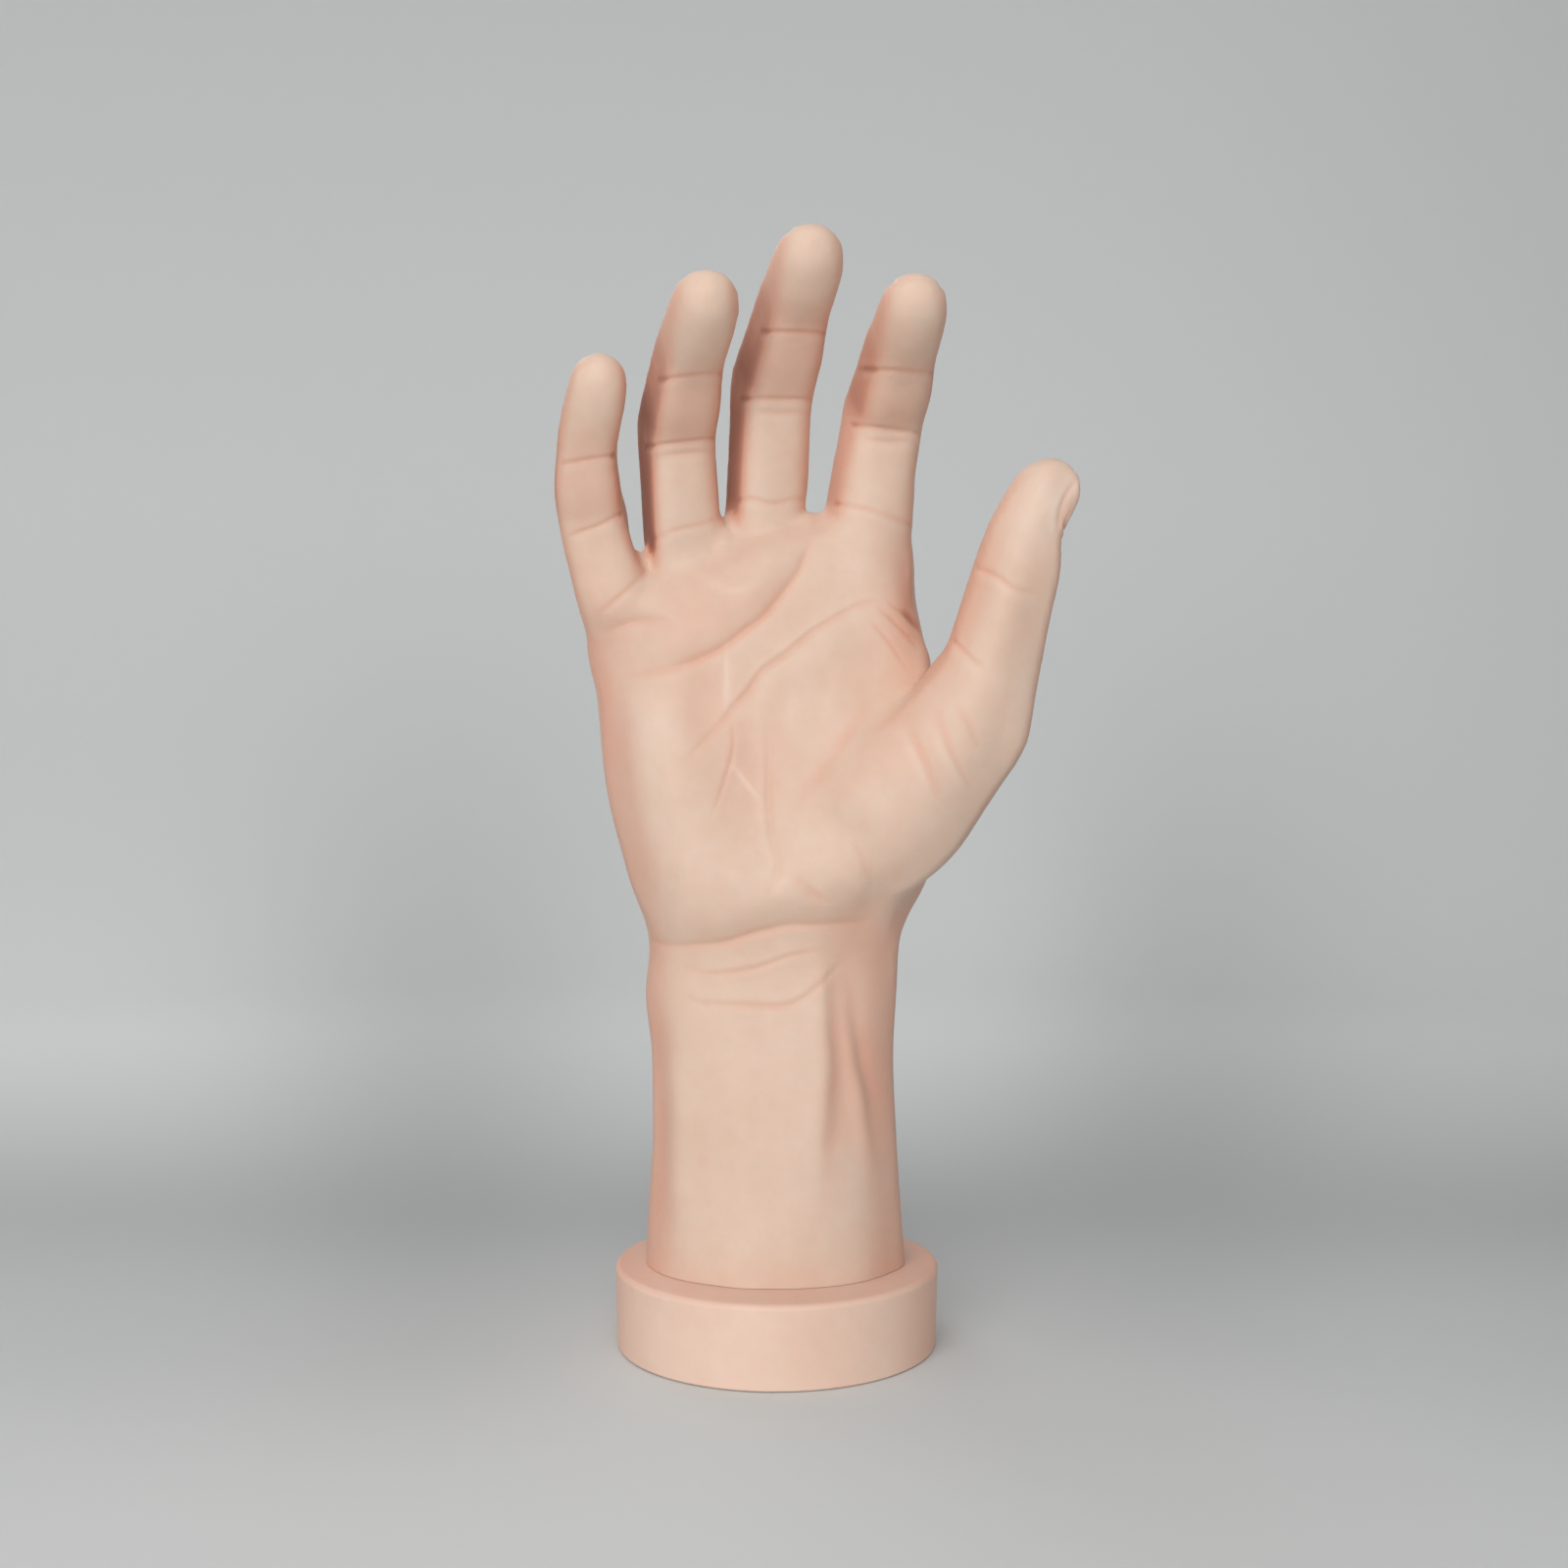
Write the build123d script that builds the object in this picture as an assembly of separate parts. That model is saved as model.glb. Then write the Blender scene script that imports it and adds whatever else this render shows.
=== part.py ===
"""Display hand: a hollow moulded right hand with its forearm, standing on a weighted round base.

The hand drops over a keyed spigot and lifts off it; the spigot turns in a bush in the base.
Frame: millimetres, +Z up, origin on the floor at the middle of the base.
+X is the thumb side, -Y is the side that the palm faces.
"""

from build123d import *
from dataclasses import dataclass, replace
import math
import os


@dataclass
class Level:
    """Outline of the arm or palm at one height: half sizes to four sides, tilt, squareness, shift to the palm."""

    height: float
    left: float
    right: float
    front: float
    back: float
    tilt: float = 0.0
    square: float = 1.0
    forward: float = 0.0


@dataclass
class Ring:
    """Outline of a digit at a distance along one of its bones: half width, half depths to the palm and the back."""

    bone: int
    along: float
    half_width: float
    front: float
    back: float


@dataclass
class Digit:
    """Chain of bones from a first joint; each leans to the palm and sways to the thumb by so many degrees."""

    start: tuple
    bones: tuple
    leans: tuple
    sways: tuple
    turn: float = 0.0


@dataclass
class Finger:
    """Finger with its knuckle's place in the palm and its width at the root, the two joints and the pad."""

    across: float
    forward: float
    drop: float
    bones: tuple
    leans: tuple
    sways: tuple
    root_width: float
    middle_width: float
    end_width: float
    pad_width: float


# Round base
base_diameter = 84.0
base_height = 21.0
base_draft = 0.6
base_wall = 3.0
base_top_thickness = 4.2
base_edge_radius = 1.4
base_foot_radius = 0.5
floor_gap = 0.2

# Foot pad and bottom cover of the base
pad_thickness = 1.6
cover_thickness = 2.4
cover_fit = 0.2
cover_screw_count = 4
cover_screw_diameter = 2.9
cover_screw_head_diameter = 5.4
cover_screw_head_height = 1.5
cover_screw_length = 9.0
cover_screw_slot = 0.8
cover_screw_slot_depth = 0.7
cover_hole_clearance = 0.15
pilot_end_clearance = 0.5
cover_edge_margin = 1.0
boss_bite = 0.5

# Swivel in the middle of the base
journal_diameter = 12.0
collar_diameter = 25.0
collar_thickness = 3.0
spigot_diameter = 16.0
spigot_flats = 12.0
spigot_length = 24.0
spigot_chamfer = 1.0
bush_wall = 2.0
bush_flange_thickness = 1.5
hub_wall = 3.5
collar_clearance = 0.4
running_clearance = 0.05
seat_clearance = 0.02
turning_gap = 0.12

# Retainer under the swivel post
friction_washer_width = 3.0
friction_washer_thickness = 0.8
retaining_washer_diameter = 18.0
retaining_washer_thickness = 1.2
washer_clearance = 0.2
retaining_screw_diameter = 5.0
retaining_screw_length = 14.0
retaining_screw_head_diameter = 9.0
retaining_screw_head_height = 2.4
retaining_screw_hex = 3.0
retaining_screw_hex_depth = 1.4
head_clearance = 0.8
cover_opening_clearance = 2.0

# Ballast ring
ballast_thickness = 12.0
ballast_clearance = 0.5

# Plug that closes the arm
plug_thickness = 7.0
plug_boss_wall = 4.0
plug_roof = 2.5
plug_glue_gap = 0.15
plug_slip_clearance = 0.1
plug_end_clearance = 1.0

# Forearm and palm
shell_wall = 3.0
forearm_length = 82.0
palm_length = 102.7
web_rise = 14.0
root_depth = 9.0
cavity_overlap = 4.0
web_fold_rise = 14.0

# Smoothness of the moulded outlines
quarter_points = 4
station_step = 5.0
joint_reach = 7.0
tip_shares = (0.4, 0.7, 0.9, 0.975)

# Fingers
index = Finger(
    across=20.8,
    forward=0.0,
    drop=3.5,
    bones=(40.0, 24.0, 25.1),
    leans=(18.0, 61.0, 67.0),
    sways=(9.5, 7.0, 7.0),
    root_width=21.8,
    middle_width=20.2,
    end_width=17.6,
    pad_width=16.4,
)
middle = Finger(
    across=-3.6,
    forward=-2.0,
    drop=0.0,
    bones=(43.0, 27.0, 25.5),
    leans=(20.0, 54.0, 64.0),
    sways=(3.0, 12.0, 12.3),
    root_width=20.9,
    middle_width=20.7,
    end_width=17.6,
    pad_width=16.8,
)
ring = Finger(
    across=-24.0,
    forward=0.0,
    drop=9.5,
    bones=(41.0, 26.0, 28.0),
    leans=(20.0, 56.0, 64.0),
    sways=(-2.3, 10.0, 14.2),
    root_width=20.2,
    middle_width=19.7,
    end_width=17.0,
    pad_width=16.3,
)
little = Finger(
    across=-39.0,
    forward=4.0,
    drop=23.4,
    bones=(33.0, 20.0, 25.2),
    leans=(14.0, 36.0, 40.0),
    sways=(-15.0, 0.0, 14.8),
    root_width=18.8,
    middle_width=17.8,
    end_width=15.5,
    pad_width=14.6,
)
fingers = (index, middle, ring, little)

# Places in the stack, from the floor up
cover_top = pad_thickness + cover_thickness
screw_head_bottom = pad_thickness + head_clearance
retaining_washer_bottom = screw_head_bottom + retaining_screw_head_height
post_bottom = retaining_washer_bottom + retaining_washer_thickness
hub_bottom = post_bottom + friction_washer_thickness
arm_end = base_height + turning_gap
collar_bottom = arm_end - collar_thickness
recess_floor = collar_bottom - bush_flange_thickness
ceiling = base_height - base_top_thickness
wrist = arm_end + forearm_length
knuckle = wrist + palm_length

# Radii that mating pieces share
base_radius = base_diameter / 2
foot_radius = base_radius - base_draft
cavity_radius = foot_radius - base_wall
cover_radius = cavity_radius - cover_fit
journal_radius = journal_diameter / 2
bush_bore_radius = journal_radius + running_clearance
bush_radius = bush_bore_radius + bush_wall
collar_radius = collar_diameter / 2
recess_radius = collar_radius + collar_clearance
hub_radius = recess_radius + hub_wall
spigot_radius = spigot_diameter / 2
cover_screw_radius = cover_screw_diameter / 2
cover_head_radius = cover_screw_head_diameter / 2
boss_circle = cover_radius - cover_head_radius - cover_edge_margin
boss_radius = cavity_radius + boss_bite - boss_circle
retaining_screw_radius = retaining_screw_diameter / 2
retaining_head_radius = retaining_screw_head_diameter / 2

# Thumb: its first bone carries the ball of the thumb, and its nail turns to the side
thumb = Digit(
    start=(12.0, -6.0, wrist + 9.0),
    bones=(66.0, 32.0, 12.5, 21.4),
    leans=(17.0, 11.0, 9.0, 9.0),
    sways=(36.5, 14.0, 11.0, 25.0),
    turn=-68.0,
)
thumb_rings = (
    Ring(0, 0.0, 9.0, 11.0, 8.0),
    Ring(0, 32.0, 18.0, 19.0, 14.5),
    Ring(1, 0.0, 14.5, 16.5, 12.8),
    Ring(1, 17.0, 11.5, 12.0, 11.2),
    Ring(2, 0.0, 11.5, 11.0, 10.4),
    Ring(3, 0.0, 11.2, 10.4, 9.0),
    Ring(3, 11.5, 9.8, 8.8, 7.2),
)

# Heel of the hand on the little finger side
heel = Digit(start=(-17.0, -6.0, wrist + 3.0), bones=(70.0,), leans=(3.0,), sways=(-11.0,))
heel_rings = (
    Ring(0, 0.0, 8.0, 10.0, 6.0),
    Ring(0, 20.0, 13.0, 16.5, 8.0),
    Ring(0, 40.0, 13.5, 16.5, 8.0),
    Ring(0, 54.0, 12.0, 14.0, 7.0),
)


def polar(angle):
    return math.cos(math.radians(angle)), math.sin(math.radians(angle))


def oval(plane, left, right, front, back, square=1.0):
    """Closed smooth outline of four quarters, each with its own half sizes; square under 1 fills the corners."""
    corners = ((right, back), (-left, back), (-left, -front), (right, -front))
    quarters = []
    for number, (x_size, y_size) in enumerate(corners):
        points = []
        for i in range(quarter_points + 1):
            share = i / quarter_points
            c, s = polar(90.0 * (share if number % 2 == 0 else 1 - share))
            points.append(plane.from_local_coords(Vector(x_size * c**square, y_size * s**square, 0)))
        side = plane.y_dir * math.copysign(1, y_size)
        level = plane.x_dir * -math.copysign(1, x_size)
        tangents = (side, level) if number % 2 == 0 else (level * -1, side * -1)
        quarters.append(Edge.make_spline(points, tangents=tangents))
    return Face(Wire(quarters))


def steady_curve(places, values, place):
    """Smooth cubic through the values that never overshoots them."""
    steps = [after - before for before, after in zip(places, places[1:])]
    rises = [(after - before) / step for before, after, step in zip(values, values[1:], steps)]
    slopes = [rises[0]]
    for i in range(1, len(rises)):
        if rises[i - 1] * rises[i] <= 0:
            slopes.append(0.0)
        else:
            near = 2 * steps[i] + steps[i - 1]
            far = steps[i] + 2 * steps[i - 1]
            slopes.append((near + far) / (near / rises[i - 1] + far / rises[i]))
    slopes.append(rises[-1])
    i = max(k for k in range(len(steps)) if k == 0 or places[k] <= place)
    t = (place - places[i]) / steps[i]
    start = (2 * t**3 - 3 * t**2 + 1) * values[i] + (t**3 - 2 * t**2 + t) * steps[i] * slopes[i]
    end = (3 * t**2 - 2 * t**3) * values[i + 1] + (t**3 - t**2) * steps[i] * slopes[i + 1]
    return start + end


def stations(places):
    """Even steps from the first place to the last."""
    count = max(1, round((places[-1] - places[0]) / station_step))
    return [places[0] + (places[-1] - places[0]) * k / count for k in range(count + 1)]


def bone_directions(digit):
    directions = []
    for lean, sway in zip(digit.leans, digit.sways):
        lean_cos, lean_sin = polar(lean)
        sway_cos, sway_sin = polar(sway)
        directions.append(Vector(sway_sin, -lean_sin * sway_cos, lean_cos * sway_cos))
    return directions


def bone_plane(digit, place):
    """Plane across a digit at a distance along its bones, which bend in a smooth curve at each joint."""
    directions = bone_directions(digit)
    joint = Vector(*digit.start)
    reached = 0.0
    point = joint + directions[0] * place
    normal = directions[0]
    for before, after, length in zip(directions, directions[1:], digit.bones):
        joint += before * length
        reached += length
        beyond = place - reached
        if beyond > joint_reach:
            point = joint + after * beyond
            normal = after
        elif beyond > -joint_reach:
            fall = (joint_reach - beyond) ** 2 / (4 * joint_reach)
            climb = (joint_reach + beyond) ** 2 / (4 * joint_reach)
            point = joint - before * fall + after * climb
            normal = (before * (joint_reach - beyond) + after * (joint_reach + beyond)).normalized()
    across = Vector(1, 0, 0)
    across = (across - normal * across.dot(normal)).normalized()
    across = across.rotate(Axis((0, 0, 0), normal), digit.turn)
    return Plane(point, x_dir=across, z_dir=normal)


def digit_solid(digit, rings, inset):
    """Bands through the rings of a digit; past the last ring it closes in a round tip at the end of the bones."""
    places = [sum(digit.bones[: r.bone]) + r.along for r in rings]
    half_widths = [r.half_width - inset for r in rings]
    fronts = [r.front - inset for r in rings]
    backs = [r.back - inset for r in rings]
    outlines = []
    for place in stations(places):
        half_width = steady_curve(places, half_widths, place)
        front = steady_curve(places, fronts, place)
        back = steady_curve(places, backs, place)
        outlines.append(oval(bone_plane(digit, place), half_width, half_width, front, back))
    tip_length = sum(digit.bones) - places[-1] - inset
    for share in tip_shares:
        shrink = math.sqrt(1 - share**2)
        plane = bone_plane(digit, places[-1] + share * tip_length)
        half_width = half_widths[-1] * shrink
        outlines.append(oval(plane, half_width, half_width, fronts[-1] * shrink, backs[-1] * shrink))
    return loft(outlines, ruled=True)


def knuckle_point(finger):
    return Vector(finger.across, -finger.forward, knuckle - finger.drop)


def finger_digit(finger):
    return Digit(tuple(knuckle_point(finger)), finger.bones, finger.leans, finger.sways)


def knuckle_line():
    """Middle, slant and half length of the line from the little knuckle to the index knuckle."""
    first = knuckle_point(little)
    last = knuckle_point(index)
    span = last - first
    return (first + last) * 0.5, math.degrees(math.atan2(span.Z, span.X)), span.length / 2


def knuckle_rise(finger):
    """How far a knuckle stands above that line."""
    centre, slant, _ = knuckle_line()
    slant_cos, slant_sin = polar(slant)
    offset = knuckle_point(finger) - centre
    return offset.Z * slant_cos - offset.X * slant_sin


def finger_rings(finger):
    """Rings of a finger: a narrow root inside the palm, waists between the joints and a full pad at the end."""
    proximal, middle_bone, distal = finger.bones
    root = finger.root_width / 2
    mid = finger.middle_width / 2
    end = finger.end_width / 2
    pad = finger.pad_width / 2
    waist = (mid + end) / 2
    sunk = -knuckle_rise(finger)
    return (
        Ring(0, sunk - root_depth, root * 0.5, root * 0.6, root * 0.25),
        Ring(0, sunk, root * 0.72, root * 0.9, root * 0.7),
        Ring(0, sunk + web_rise, root, root * 1.05, root * 0.96),
        Ring(0, proximal * 0.65, root * 0.98, root * 0.98, root * 0.88),
        Ring(1, 0.0, mid, mid * 0.92, mid),
        Ring(1, middle_bone * 0.5, waist * 1.02, waist * 0.98, waist * 0.86),
        Ring(2, 0.0, end, end * 0.94, end * 0.92),
        Ring(2, distal * 0.4, pad * 1.02, pad, pad * 0.8),
        Ring(2, distal - pad * 1.05, pad * 0.96, pad * 0.9, pad * 0.74),
    )


def forearm_levels():
    """Levels from the end of the arm up to the line of the knuckles."""
    centre, slant, reach = knuckle_line()
    slant_cos, slant_sin = polar(slant)
    left = reach + little.root_width * 0.55 - centre.X / slant_cos
    right = reach + index.root_width * 0.6 + centre.X / slant_cos
    height = centre.Z - centre.X * slant_sin / slant_cos
    return [
        Level(arm_end, 34.2, 33.4, 28.5, 28.5),
        Level(arm_end + forearm_length * 0.18, 33.5, 32.3, 27.5, 27.8),
        Level(arm_end + forearm_length * 0.4, 32.4, 31.2, 26.0, 26.5),
        Level(arm_end + forearm_length * 0.65, 32.6, 30.4, 23.5, 24.0, 0.0, 0.95),
        Level(arm_end + forearm_length * 0.85, 34.3, 31.2, 22.0, 22.0, 0.0, 0.9),
        Level(wrist, 33.2, 32.0, 21.5, 20.0, 0.0, 0.9),
        Level(wrist + palm_length * 0.18, 38.5, 40.5, 22.5, 18.0, 2.0, 0.86),
        Level(wrist + palm_length * 0.46, 45.0, 40.5, 21.0, 16.0, 6.0, 0.82),
        Level(wrist + palm_length * 0.73, 48.0, 39.2, 18.5, 14.5, 11.0, 0.8),
        Level(height, left, right, 17.0, 12.5, slant, 0.76),
    ]


def web_levels(top):
    """Levels that close the palm above the line of the knuckles."""
    return [
        Level(top.height + web_rise * 0.5, top.left - 2.0, top.right - 1.5, 14.5, 11.0, top.tilt, 0.76, 2.0),
        Level(top.height + web_rise * 0.85, top.left - 5.0, top.right - 4.0, 9.5, 8.0, top.tilt, 0.76, 4.5),
        Level(top.height + web_rise, top.left - 9.0, top.right - 8.0, 4.0, 3.5, top.tilt, 0.76, 6.0),
    ]


def arm_solid(levels, inset):
    """Bands through the levels of the forearm and palm."""
    heights = [level.height for level in levels]

    def value(name, height):
        return steady_curve(heights, [getattr(level, name) for level in levels], height)

    outlines = []
    for height in stations(heights):
        tilt_cos, tilt_sin = polar(value("tilt", height))
        origin = (0, -value("forward", height), height)
        plane = Plane(origin, x_dir=(tilt_cos, 0, tilt_sin), z_dir=(-tilt_sin, 0, tilt_cos))
        left, right, front, back = (value(side, height) - inset for side in ("left", "right", "front", "back"))
        outlines.append(oval(plane, left, right, front, back, value("square", height)))
    return loft(outlines, ruled=True)


def web_fold():
    """Fold of skin between the middle and ring fingers, the highest of the webs."""
    start = (knuckle_point(middle) + knuckle_point(ring)) * 0.5
    lean = (middle.leans[0] + ring.leans[0]) / 2
    sway = (middle.sways[0] + ring.sways[0]) / 2
    fold = Digit(tuple(start), (web_fold_rise,), (lean,), (sway,))
    rings = (
        Ring(0, -web_fold_rise * 0.6, 5.0, 9.0, 3.0),
        Ring(0, 0.0, 5.5, 11.0, 5.0),
        Ring(0, web_fold_rise * 0.5, 5.0, 10.0, 4.0),
    )
    return digit_solid(fold, rings, 0.0)


def fuse_all(solids):
    whole = solids[0]
    for solid in solids[1:]:
        whole = whole.fuse(solid)
    return whole


def cavity_levels():
    """Levels of the hollow, which runs out of the end of the arm and up among the roots of the fingers."""
    levels = forearm_levels()
    top = levels[-1]
    return levels + [replace(top, height=top.height + cavity_overlap)]


def hand_shell():
    levels = forearm_levels()
    outer = [arm_solid(levels + web_levels(levels[-1]), 0.0), digit_solid(heel, heel_rings, 0.0)]
    inner = [arm_solid(cavity_levels(), shell_wall), digit_solid(heel, heel_rings, shell_wall)]
    for finger in fingers:
        rings = finger_rings(finger)
        outer.append(digit_solid(finger_digit(finger), rings, 0.0))
        inner.append(digit_solid(finger_digit(finger), rings[1:], shell_wall))
    outer += [digit_solid(thumb, thumb_rings, 0.0), web_fold()]
    inner.append(digit_solid(thumb, thumb_rings, shell_wall))
    return fuse_all(outer).cut(fuse_all(inner))


def disc(radius, bottom, top):
    return Pos(0, 0, bottom) * Cylinder(radius, top - bottom, align=(Align.CENTER, Align.CENTER, Align.MIN))


def tube(radius, bore, bottom, top):
    return disc(radius, bottom, top) - disc(bore, bottom, top)


def keyed_bar(radius, flats, bottom, top):
    """Round bar with two flats."""
    slab = Pos(0, 0, bottom) * Box(2 * radius, flats, top - bottom, align=(Align.CENTER, Align.CENTER, Align.MIN))
    return disc(radius, bottom, top) & slab


def screw_places():
    return PolarLocations(boss_circle, cover_screw_count, start_angle=45)


def base_shell():
    height = base_height - floor_gap
    shell = Cone(foot_radius, base_radius, height, align=(Align.CENTER, Align.CENTER, Align.MIN))
    shell = Pos(0, 0, floor_gap) * shell
    rims = shell.edges().filter_by(GeomType.CIRCLE).sort_by(Axis.Z)
    shell = fillet(rims[-1], base_edge_radius)
    shell = fillet(shell.edges().filter_by(GeomType.CIRCLE).sort_by(Axis.Z)[0], base_foot_radius)
    shell -= disc(cavity_radius, floor_gap, ceiling)
    shell += disc(hub_radius, hub_bottom, ceiling)
    inside = disc(cavity_radius + base_wall / 2, cover_top, ceiling)
    for place in screw_places():
        shell += place * disc(boss_radius, cover_top, ceiling) & inside
    shell -= disc(recess_radius, recess_floor, base_height)
    shell -= disc(bush_radius + seat_clearance, hub_bottom, recess_floor)
    pilot_top = pad_thickness + cover_screw_length + pilot_end_clearance
    for place in screw_places():
        shell -= place * disc(cover_screw_radius + seat_clearance, cover_top, pilot_top)
    return shell


def pivot_bush():
    flange = tube(collar_radius, bush_bore_radius, recess_floor, collar_bottom)
    return flange + tube(bush_radius, bush_bore_radius, hub_bottom, recess_floor)


def friction_washer():
    bore = bush_bore_radius + washer_clearance
    return tube(bore + friction_washer_width, bore, post_bottom, hub_bottom)


def ballast_ring():
    bore = hub_radius + ballast_clearance
    radius = boss_circle - boss_radius - ballast_clearance
    return tube(radius, bore, cover_top, cover_top + ballast_thickness)


def base_cover():
    cover = tube(cover_radius, retaining_head_radius + cover_opening_clearance, pad_thickness, cover_top)
    hole = cover_screw_radius + cover_hole_clearance
    sink = Cone(cover_head_radius + cover_hole_clearance, hole, cover_screw_head_height, align=(Align.CENTER, Align.CENTER, Align.MIN))
    for place in screw_places():
        cover -= place * disc(hole, pad_thickness, cover_top)
        cover -= place * Pos(0, 0, pad_thickness) * sink
    return cover


def cover_screws():
    """Countersunk screws, flush with the underside of the cover."""
    align = (Align.CENTER, Align.CENTER, Align.MIN)
    screw = Pos(0, 0, pad_thickness) * Cone(cover_head_radius, cover_screw_radius, cover_screw_head_height, align=align)
    screw += disc(cover_screw_radius, pad_thickness, pad_thickness + cover_screw_length)
    slot = Box(2 * cover_head_radius, cover_screw_slot, 2 * cover_screw_slot_depth)
    screw -= Pos(0, 0, pad_thickness) * slot
    return Compound([place * screw for place in screw_places()])


def foot_pad():
    return disc(cover_radius, 0.0, pad_thickness)


def swivel_post():
    post = disc(journal_radius, post_bottom, collar_bottom) + disc(collar_radius, collar_bottom, arm_end)
    spigot = keyed_bar(spigot_radius, spigot_flats, arm_end, arm_end + spigot_length)
    post += chamfer(spigot.faces().sort_by(Axis.Z)[-1].edges(), spigot_chamfer)
    thread_top = retaining_washer_bottom + retaining_screw_length + pilot_end_clearance
    return post - disc(retaining_screw_radius + seat_clearance, post_bottom, thread_top)


def retaining_washer():
    bore = retaining_screw_radius + washer_clearance
    return tube(retaining_washer_diameter / 2, bore, retaining_washer_bottom, post_bottom)


def retaining_screw():
    screw = disc(retaining_head_radius, screw_head_bottom, retaining_washer_bottom)
    screw += disc(retaining_screw_radius, retaining_washer_bottom, retaining_washer_bottom + retaining_screw_length)
    socket = extrude(RegularPolygon(retaining_screw_hex / 2, 6, major_radius=False), retaining_screw_hex_depth)
    return screw - Pos(0, 0, screw_head_bottom) * socket


def wrist_plug():
    filling = arm_solid(cavity_levels(), shell_wall + plug_glue_gap)
    plug = split(filling, Plane.XY.offset(arm_end + plug_thickness), keep=Keep.BOTTOM)
    bore_top = arm_end + spigot_length + plug_end_clearance
    bore_radius = spigot_radius + plug_slip_clearance
    plug += disc(bore_radius + plug_boss_wall, arm_end, bore_top + plug_roof)
    return plug - keyed_bar(bore_radius, spigot_flats + 2 * plug_slip_clearance, arm_end, bore_top)


makers = (
    base_shell,
    pivot_bush,
    friction_washer,
    ballast_ring,
    base_cover,
    cover_screws,
    foot_pad,
    swivel_post,
    retaining_washer,
    retaining_screw,
    wrist_plug,
    hand_shell,
)
os.makedirs("parts", exist_ok=True)
for maker in makers:
    export_step(maker(), f"parts/{maker.__name__}.step")
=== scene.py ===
import bmesh
import bpy
import math
import numpy as np
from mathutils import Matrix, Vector


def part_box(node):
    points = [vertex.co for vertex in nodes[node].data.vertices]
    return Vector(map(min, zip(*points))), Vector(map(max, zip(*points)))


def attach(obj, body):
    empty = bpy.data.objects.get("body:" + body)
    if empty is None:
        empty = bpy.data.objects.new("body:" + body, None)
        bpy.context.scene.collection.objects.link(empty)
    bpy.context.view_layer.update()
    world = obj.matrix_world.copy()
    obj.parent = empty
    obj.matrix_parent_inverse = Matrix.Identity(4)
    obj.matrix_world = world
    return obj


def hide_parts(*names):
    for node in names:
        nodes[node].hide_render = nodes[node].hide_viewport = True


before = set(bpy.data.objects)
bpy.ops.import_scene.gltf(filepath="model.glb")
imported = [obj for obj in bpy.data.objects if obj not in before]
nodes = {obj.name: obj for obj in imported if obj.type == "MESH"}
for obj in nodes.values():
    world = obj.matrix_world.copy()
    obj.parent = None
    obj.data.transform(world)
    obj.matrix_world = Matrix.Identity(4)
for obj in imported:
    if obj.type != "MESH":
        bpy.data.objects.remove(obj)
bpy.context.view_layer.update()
metre = 1000.0  # the hand is worked out in millimetres


# Shader maths

class Value:
    # one output socket; sums and products of values become Math nodes
    def __init__(self, finish, output):
        self.finish = finish
        self.output = output

    def maths(self, operation, first, second):
        return self.finish.node("ShaderNodeMath", {"operation": operation}, {0: first, 1: second})

    def __add__(self, other):
        return self.maths("ADD", self, other)

    def __radd__(self, other):
        return self.maths("ADD", other, self)

    def __sub__(self, other):
        return self.maths("SUBTRACT", self, other)

    def __rsub__(self, other):
        return self.maths("SUBTRACT", other, self)

    def __mul__(self, other):
        return self.maths("MULTIPLY", self, other)

    def __rmul__(self, other):
        return self.maths("MULTIPLY", other, self)


class Finish:
    # a material: fixed numbers go straight on the shader's sockets, what varies is linked by name
    def __init__(self, name, **fixed):
        self.material = bpy.data.materials.new(name)
        self.material.use_nodes = True
        self.tree = self.material.node_tree
        self.shader = self.tree.nodes["Principled BSDF"]
        for socket, value in fixed.items():
            self.shader.inputs[socket.replace("_", " ")].default_value = value
        self.place = self.node("ShaderNodeTexCoord", {}, {}, "Object")

    def node(self, kind, settings, sockets, output=0):
        # a node of a kind: its settings first, then the values or links of its sockets
        made = self.tree.nodes.new(kind)
        for name, value in settings.items():
            if name == "stops":
                self.setStops(made.color_ramp, value)
            else:
                setattr(made, name, value)
        for name, value in sockets.items():
            if isinstance(value, Value):
                self.tree.links.new(value.output, made.inputs[name])
            else:
                made.inputs[name].default_value = value
        return Value(self, made.outputs[output])

    def setStops(self, ramp, stops):
        # grey stops, each a position and a level
        for element, (position, level) in zip(ramp.elements, stops):
            element.position = position
            element.color = (level, level, level, 1)

    def noise(self, scale, detail=3.0, roughness=0.5, place=None):
        sockets = {"Vector": place or self.place, "Scale": scale, "Detail": detail, "Roughness": roughness}
        return self.node("ShaderNodeTexNoise", {}, sockets, "Fac")

    def stretched(self, scales):
        # object coordinates, scaled along each axis
        return self.node("ShaderNodeMapping", {}, {"Vector": self.place, "Scale": scales})

    def ramp(self, value, low, high):
        # 0 up to low, 1 from high on
        return self.node("ShaderNodeValToRGB", {"stops": ((low, 0.0), (high, 1.0))}, {"Fac": value})

    def tint(self, share, first, second):
        # colour between two, by share
        sockets = {"Factor": share, 6: first, 7: second}
        return self.node("ShaderNodeMix", {"data_type": "RGBA"}, sockets, 2)

    def attribute(self, name):
        return self.node("ShaderNodeAttribute", {"attribute_name": name}, {}, "Fac")

    def bump(self, height, distance, strength):
        sockets = {"Height": height, "Distance": distance, "Strength": strength}
        self.drive("Normal", self.node("ShaderNodeBump", {}, sockets))

    def drive(self, socket, value):
        self.tree.links.new(value.output, self.shader.inputs[socket])


def colour(red, green, blue):
    # linear colour of a screen colour from 0 to 255
    return tuple(((c / 255 + 0.055) / 1.055) ** 2.4 for c in (red, green, blue)) + (1.0,)


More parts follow.
